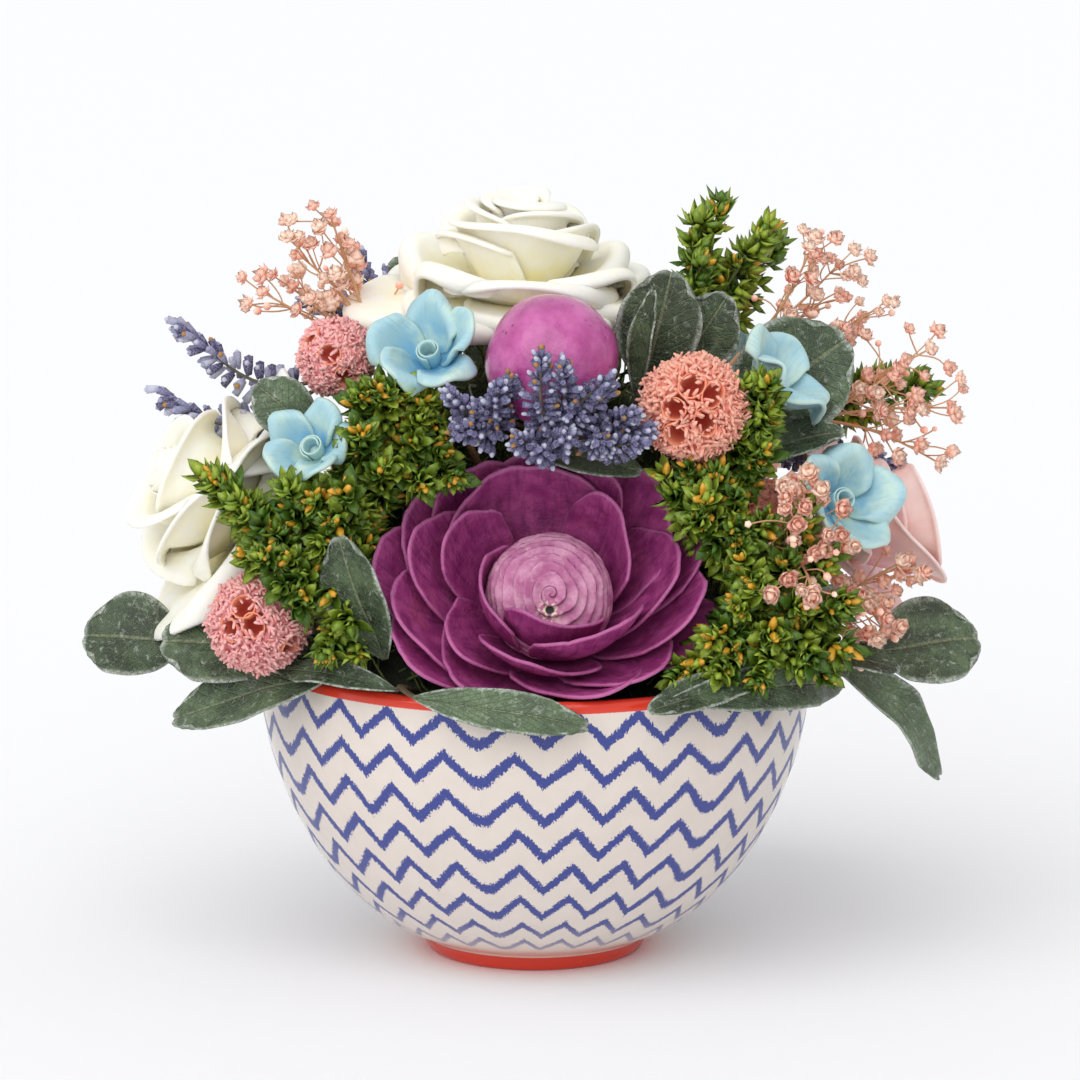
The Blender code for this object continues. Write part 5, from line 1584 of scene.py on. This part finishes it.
# %% Ten bunches
# Each bunch: its hub, the tips of its spikes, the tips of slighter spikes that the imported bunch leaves
# out, read off the photograph, and its seed.
GREENS = {
    "green_left_tall": (
        (-38, -19, 141), [(-39, -45, 160), (-30, -42, 153), (-24, -42, 144)],
        [
            (-45, -44, 160), (-48, -46, 148), (-35, -42, 161), (-28, -42, 158), (-22, -42, 152),
            (-25, -44, 144), (-21, -46, 138), (-31, -46, 148), (-36, -48, 141), (-29, -50, 137),
        ],
        11,
    ),
    "green_left_low": (
        (-58, -34, 108), [(-79, -50, 133), (-64, -54, 136), (-70, -62, 120)],
        [
            (-83, -50, 138), (-77, -52, 133), (-71, -54, 126), (-64, -56, 118), (-75, -54, 119),
            (-66, -60, 112), (-61, -60, 108),
        ],
        12,
    ),
    "green_right_tall": (
        (50, -30, 131), [(50, -45, 136), (56, -46, 144), (60, -51, 163)],
        [(55, -50, 163), (60, -48, 156), (53, -50, 152), (59, -48, 146)], 13,
    ),
    "green_left_mid": (
        (-44, -24, 122), [(-45, -52, 151), (-49, -56, 136), (-40, -50, 141)],
        [
            (-65, -52, 137), (-58, -52, 133), (-52, -54, 128), (-56, -56, 122), (-48, -52, 117),
            (-53, -58, 110), (-49, -60, 103), (-54, -62, 95), (-46, -58, 93), (-61, -58, 113),
        ],
        19,
    ),
    "green_right_mid": (
        (54, -32, 112), [(57, -58, 113), (52, -54, 126)],
        [
            (34, -52, 139), (40, -52, 142), (47, -52, 141), (44, -56, 134), (52, -54, 134), (42, -56, 129),
            (53, -56, 126), (60, -54, 128),
        ],
        20,
    ),
    "green_right_low": (
        (62, -34, 100), [(78, -52, 104), (61, -59, 99), (72, -61, 93)],
        [
            (36, -66, 88), (46, -62, 98), (40, -64, 90), (48, -66, 90), (58, -64, 88), (69, -60, 90),
            (81, -54, 94), (81, -52, 106), (77, -52, 118), (66, -56, 118), (58, -58, 111), (69, -58, 106),
            (53, -60, 106), (64, -61, 98), (54, -57, 118), (71, -52, 131),
        ],
        14,
    ),
    "green_top_right": (
        (40, 12, 160), [(50.8, 12, 204), (63, 12, 197), (45, 4, 188), (66, 22, 192)], [], 15,
    ),
    "green_right": ((74, 18, 144), [(108, 20, 152), (94, 14, 156)], [], 16),
    "green_back_left": (
        (-36, 36, 110), [(-54, 54, 134), (-58, 60, 118), (-54, 66, 104), (-66, 48, 106)], [], 17,
    ),
    "green_back_right": ((32, 44, 104), [(28, 74, 104), (48, 62, 104)], [], 18),
}
for node, (hub, tips, slighter, seed) in GREENS.items():
    bare = 0.45 if node == "green_top_right" else 0.32
    add_piece(f"{node}_bracts", green_bunch(node, hub, tips + slighter, seed, bare), bracts, node)

# %% [markdown]
# ## Lavender
#
# Lavender spikes are whorls of small ribbed cups, deep indigo, with frosted lilac buds and a few golden
# seeds in them. The rosettes of the green bunches serve here as well, with one flared cup in place of the
# bracts. The two sprays on the left are older: their cups are paler, larger and further apart.

# %% Lavender


def bead(length, width):
    """A small egg along +Z with five sides, three rings and two poles."""
    arc = np.linspace(0, math.pi, 5)
    return turned(np.stack([np.sin(arc) * width / 2, (1 - np.cos(arc)) * length / 2], 1), 5)


CUP = turned([(0, 0), (0.4, 0.15), (0.8, 1.8), (1.0, 4.0), (0.6, 3.7), (0, 3.2)], 5)
LILAC_BUD = bead(2.6, 1.5)


def lavender(node, hub, tips, seed, via=(), aside=None):
    """Forked stem with whorls of cups, and buds in some of the cups. An old spray is bent aside."""
    draw = np.random.default_rng(seed)
    hub, tips = np.array(hub, float), np.array(tips, float)
    if not aside:
        shorter = (tips - hub) * draw.uniform(0.7, 0.95, (len(tips), 1))
        tips = np.concatenate([tips, hub + shorter + draw.normal(0, 3.0, tips.shape)])
    pitch, scale, frost, filled = (3.4, 1.25, 0.60, 0.9) if aside else (2.6, 1.0, 0.0, 0.55)
    spray, paths = stem_forks(node, hub, tips, seed, via=via, aside=aside or 0.0)
    places, directions = rosettes(paths, 0.25, pitch, 5, 1.0, 0.85, draw)
    count = len(places)
    turns = frames(directions, draw.uniform(0, 6, count))
    sizes = draw.uniform(0.75, 1.1, count) * scale
    tones = draw.uniform(frost, frost + 0.45, count)
    if aside:
        tones = np.where(draw.uniform(0, 1, count) < 0.35, 0.1, tones)
    spray.join(repeat(CUP, places, turns, sizes, tones))
    full = draw.uniform(0, 1, count) < filled
    tones = draw.choice([0.8, 1.0, 1.5], full.sum(), p=[0.5, 0.35, 0.15])
    return spray.join(repeat(LILAC_BUD, (places + directions * 2.6)[full], turns[full], sizes[full], tones))


print("a cup has", CUP.count, "points and a bud has", LILAC_BUD.count)

# %% [markdown]
# ### Lavender finish
#
# Cups, buds, seeds and stems could each have a finish, but they are one piece with one slot. So one finish
# goes by their tones, from indigo through frosted lilac to gold.

# %% Finish of the lavender
indigo = Finish("lavender_cup", "lavender_bud", roughness=0.8)
place = indigo.place()
tone = indigo.tone()
grain = indigo.noise(place, 0.5, 3.0, 0.7)
colour = indigo.coats(
    indigo.mix(tone.over(0.0, 0.5), (62, 56, 96), (112, 108, 150)),
    (grain.over(0.4, 0.7) * 0.7, (178, 178, 202)),
    (tone.over(0.6, 1.05), (198, 200, 218)),
    (tone.over(1.2, 1.3), (176, 130, 76)),
    (tone.over(1.8, 1.9), (112, 104, 84)),
)
indigo.apply(colour, grain, 0.15)

# %% Six sprays of lavender
# Each spray: its hub, its tips, its seed, and where needed the points that its stem passes and how far
# each branch is bent aside.
LAVENDERS = {
    "lavender_front_left": (
        (-10, -44, 149), [(-21, -57, 161), (-18, -58, 153), (-9, -61, 164)], 21, [(-8, -26, 150)],
    ),
    "lavender_front": (
        (4, -50, 147.5), [(2, -66, 172), (-4, -64, 151.5), (8, -66, 151.5), (18, -64, 166)], 22,
        [(1, -28, 149)],
    ),
    "lavender_front_right": (
        (14, -46, 149), [(25, -60, 157), (27, -61, 150), (17, -61, 150)], 23, [(10, -26, 150)],
    ),
    "lavender_left": ((-54, 8, 158), [(-95, 3, 172), (-101, 8, 154)], 24, [], [(-2, 0, -8), (-3, 0, -12)]),
    "lavender_right": ((58, 34, 138), [(101, 30, 129), (94, 42, 122)], 25, []),
    "lavender_back": ((-34, 28, 160), [(-48, 36, 186), (-58, 44, 172), (-62, 30, 174)], 26, []),
}
for node, spray in LAVENDERS.items():
    add_piece(f"{node}_cups", lavender(node, *spray), indigo, node)

# %% [markdown]
# ## Peach blossoms
#
# Tiny crumpled blossoms stand at the ends of hair-thin branching stems. At this size a blossom is a knot:
# modelled petal by petal it would take thousands of faces, so the cupped bract is used again, small and
# broad, in three rings round a heart.

# %% Blossom sprays
CRUMPLED = cupped_bract(2.9, 3.0, 0.85, 0.1)
HEART = bead(2.2, 2.2)
THREADS = 12


def blossoms(node, hub, tips, seed):
    """A stem, a branch to each tip, threads off each branch, and a blossom or a round bud on every end."""
    draw = np.random.default_rng(seed)
    hub, tips = np.array(hub, float), np.array(tips, float)
    spray, paths = stem_forks(node, hub, tips, seed, radius=0.55, bend=1.5)
    starts, stops = [], []
    for path in np.repeat(paths, THREADS, axis=0):
        starts.append(path[int(draw.integers(4, 11))])
        along = unit(path[-1] - path[0])
        lean = unit(along * draw.uniform(0.6, 1.2) + draw.normal(0, 0.65, 3))
        stops.append(starts[-1] + lean * draw.uniform(6, 13))
    starts, stops = np.array(starts), np.array(stops)
    t = np.linspace(0, 1, 6)[None, :, None]
    sag = draw.normal(0, 0.7, (len(starts), 1, 3)) * np.sin(t * math.pi)
    spray.join(tubes(starts[:, None] + (stops - starts)[:, None] * t + sag, 0.22, 4, STALK_TONE))
    ends = np.concatenate([tips, stops])
    count = len(ends)
    facing = unit(ends - hub + draw.normal(0, 6, ends.shape))
    full = draw.uniform(0, 1, count) < 0.75
    sizes = draw.uniform(0.7, 1.15, count)
    tones = draw.uniform(0, 1, count)
    for petals, lean in ((6, 76), (6, 50), (4, 22)):
        spray.join(ring_of(CRUMPLED, ends[full], facing[full], petals, lean, sizes[full], tones[full], draw))
    return spray.join(repeat(HEART, ends - facing * 0.9, frames(facing), sizes, tones))


print("a heart has", HEART.count, "points")

# %% [markdown]
# ### Blossom finish
#
# Light passes through such thin petals many times over. Subsurface scattering would show it, but at this
# size a faint glow of their own colour looks the same.

# %% Finish of the blossoms
glow = dict(emission_strength=0.09, emission_color=(*srgb(244, 150, 124), 1))
peach = Finish("peach_blossom", "peach_blossom", roughness=0.8, **glow)
place = peach.place()
tone = peach.tone()
_, along = peach.way()
grain = peach.noise(place, 0.9, 3.0, 0.7)
colour = peach.coats(
    peach.mix(tone.over(0.0, 1.0), (244, 172, 150), (255, 226, 204)),
    (along.over(0.3, 1.0) * 0.5, (255, 232, 212)),
    (grain.over(0.5, 0.8) * 0.4, (224, 146, 124)),
    (tone.over(1.4, 1.5), (190, 152, 110)),
)
peach.apply(colour, grain, 0.15)

# %% Six sprays of blossoms
# Each spray: its hub, its tips and its seed.
SPRAYS = {
    "gypsophila_front_right": (
        (66, -34, 122), [(68, -54, 136), (76, -56, 124), (72, -62, 112), (68, -60, 128)], 34,
    ),
    "gypsophila_low_right": (
        (78, -22, 100), [(92, -32, 98), (97, -32, 113), (88, -40, 95), (86, -42, 106)], 35,
    ),
    "gypsophila_top_left": (
        (-42, 2, 164), [(-55, 0, 202), (-73, 0, 181), (-63, 0, 191), (-50, 6, 188), (-68, 14, 182)], 31,
    ),
    "gypsophila_top_right": ((56, 6, 164), [(82, 5, 188), (75, -6, 196), (95, 5, 178), (80, 12, 176)], 32),
    "gypsophila_right": ((74, 4, 146), [(107, 5, 165), (113, 5, 149), (110, 5, 134), (98, 2, 160)], 33),
    "gypsophila_back": ((38, 46, 126), [(46, 68, 146), (58, 64, 136), (38, 76, 132), (60, 62, 124)], 36),
}
for node, spray in SPRAYS.items():
    add_piece(f"{node}_blossoms", blossoms(node, *spray), peach, node)

# %% [markdown]
# ## Floor, light and camera
#
# The photograph is a product shot: a seamless pale ground, light from all round and a softer key from the
# upper left. Several area lamps could be placed as in a studio, but a white world gives the even light
# and one sun with a very wide angle gives the direction, at any distance from the object.

# %% Floor
ground = bpy.data.meshes.new("ground")
ground.from_pydata([(-6, -6, 0), (6, -6, 0), (6, 6, 0), (-6, 6, 0)], [], [(0, 1, 2, 3)])
paper = bpy.data.materials.new("pale_paper")
paper.use_nodes = True
paper.node_tree.nodes["Principled BSDF"].inputs["Base Color"].default_value = (0.93, 0.93, 0.94, 1)
paper.node_tree.nodes["Principled BSDF"].inputs["Roughness"].default_value = 0.9
ground.materials.append(paper)
floor = bpy.data.objects.new("ground", ground)
bpy.context.scene.collection.objects.link(floor)
print("the floor is", floor.dimensions.x, "m wide")

# %% Light
soft_sun = bpy.data.lights.new("soft_sun", "SUN")
soft_sun.energy, soft_sun.angle = 1.65, math.radians(70)
holder = bpy.data.objects.new("soft_sun", soft_sun)
holder.rotation_euler = Vector((0.35, 0.78, -0.78)).to_track_quat("-Z", "Y").to_euler()
bpy.context.scene.collection.objects.link(holder)
world = bpy.data.worlds.new("studio")
world.use_nodes = True
world.node_tree.nodes["Background"].inputs["Color"].default_value = (0.98, 0.985, 1.0, 1)
world.node_tree.nodes["Background"].inputs["Strength"].default_value = 0.73
bpy.context.scene.world = world
bpy.context.scene.view_settings.view_transform = "Standard"
print("the sun is", round(math.degrees(soft_sun.angle)), "degrees wide")

# %% Camera
camera = bpy.data.cameras.new("camera")
camera.lens, camera.sensor_width, camera.shift_x = 146.6, 36, 0.0048
eye = bpy.data.objects.new("camera", camera)
eye.location = (0, -1.1810, 0.3258)
eye.rotation_euler = (math.radians(79.8), 0, 0)
bpy.context.scene.collection.objects.link(eye)
bpy.context.scene.camera = eye
print("the camera looks down by", round(90 - math.degrees(eye.rotation_euler.x), 1), "degrees")

# %% [markdown]
# ## Pieces and triangles
#
# The pieces and their triangles are counted.

# %% Pieces and triangles
print("pieces:", len(triangles), "with", sum(triangles.values()), "triangles in all")
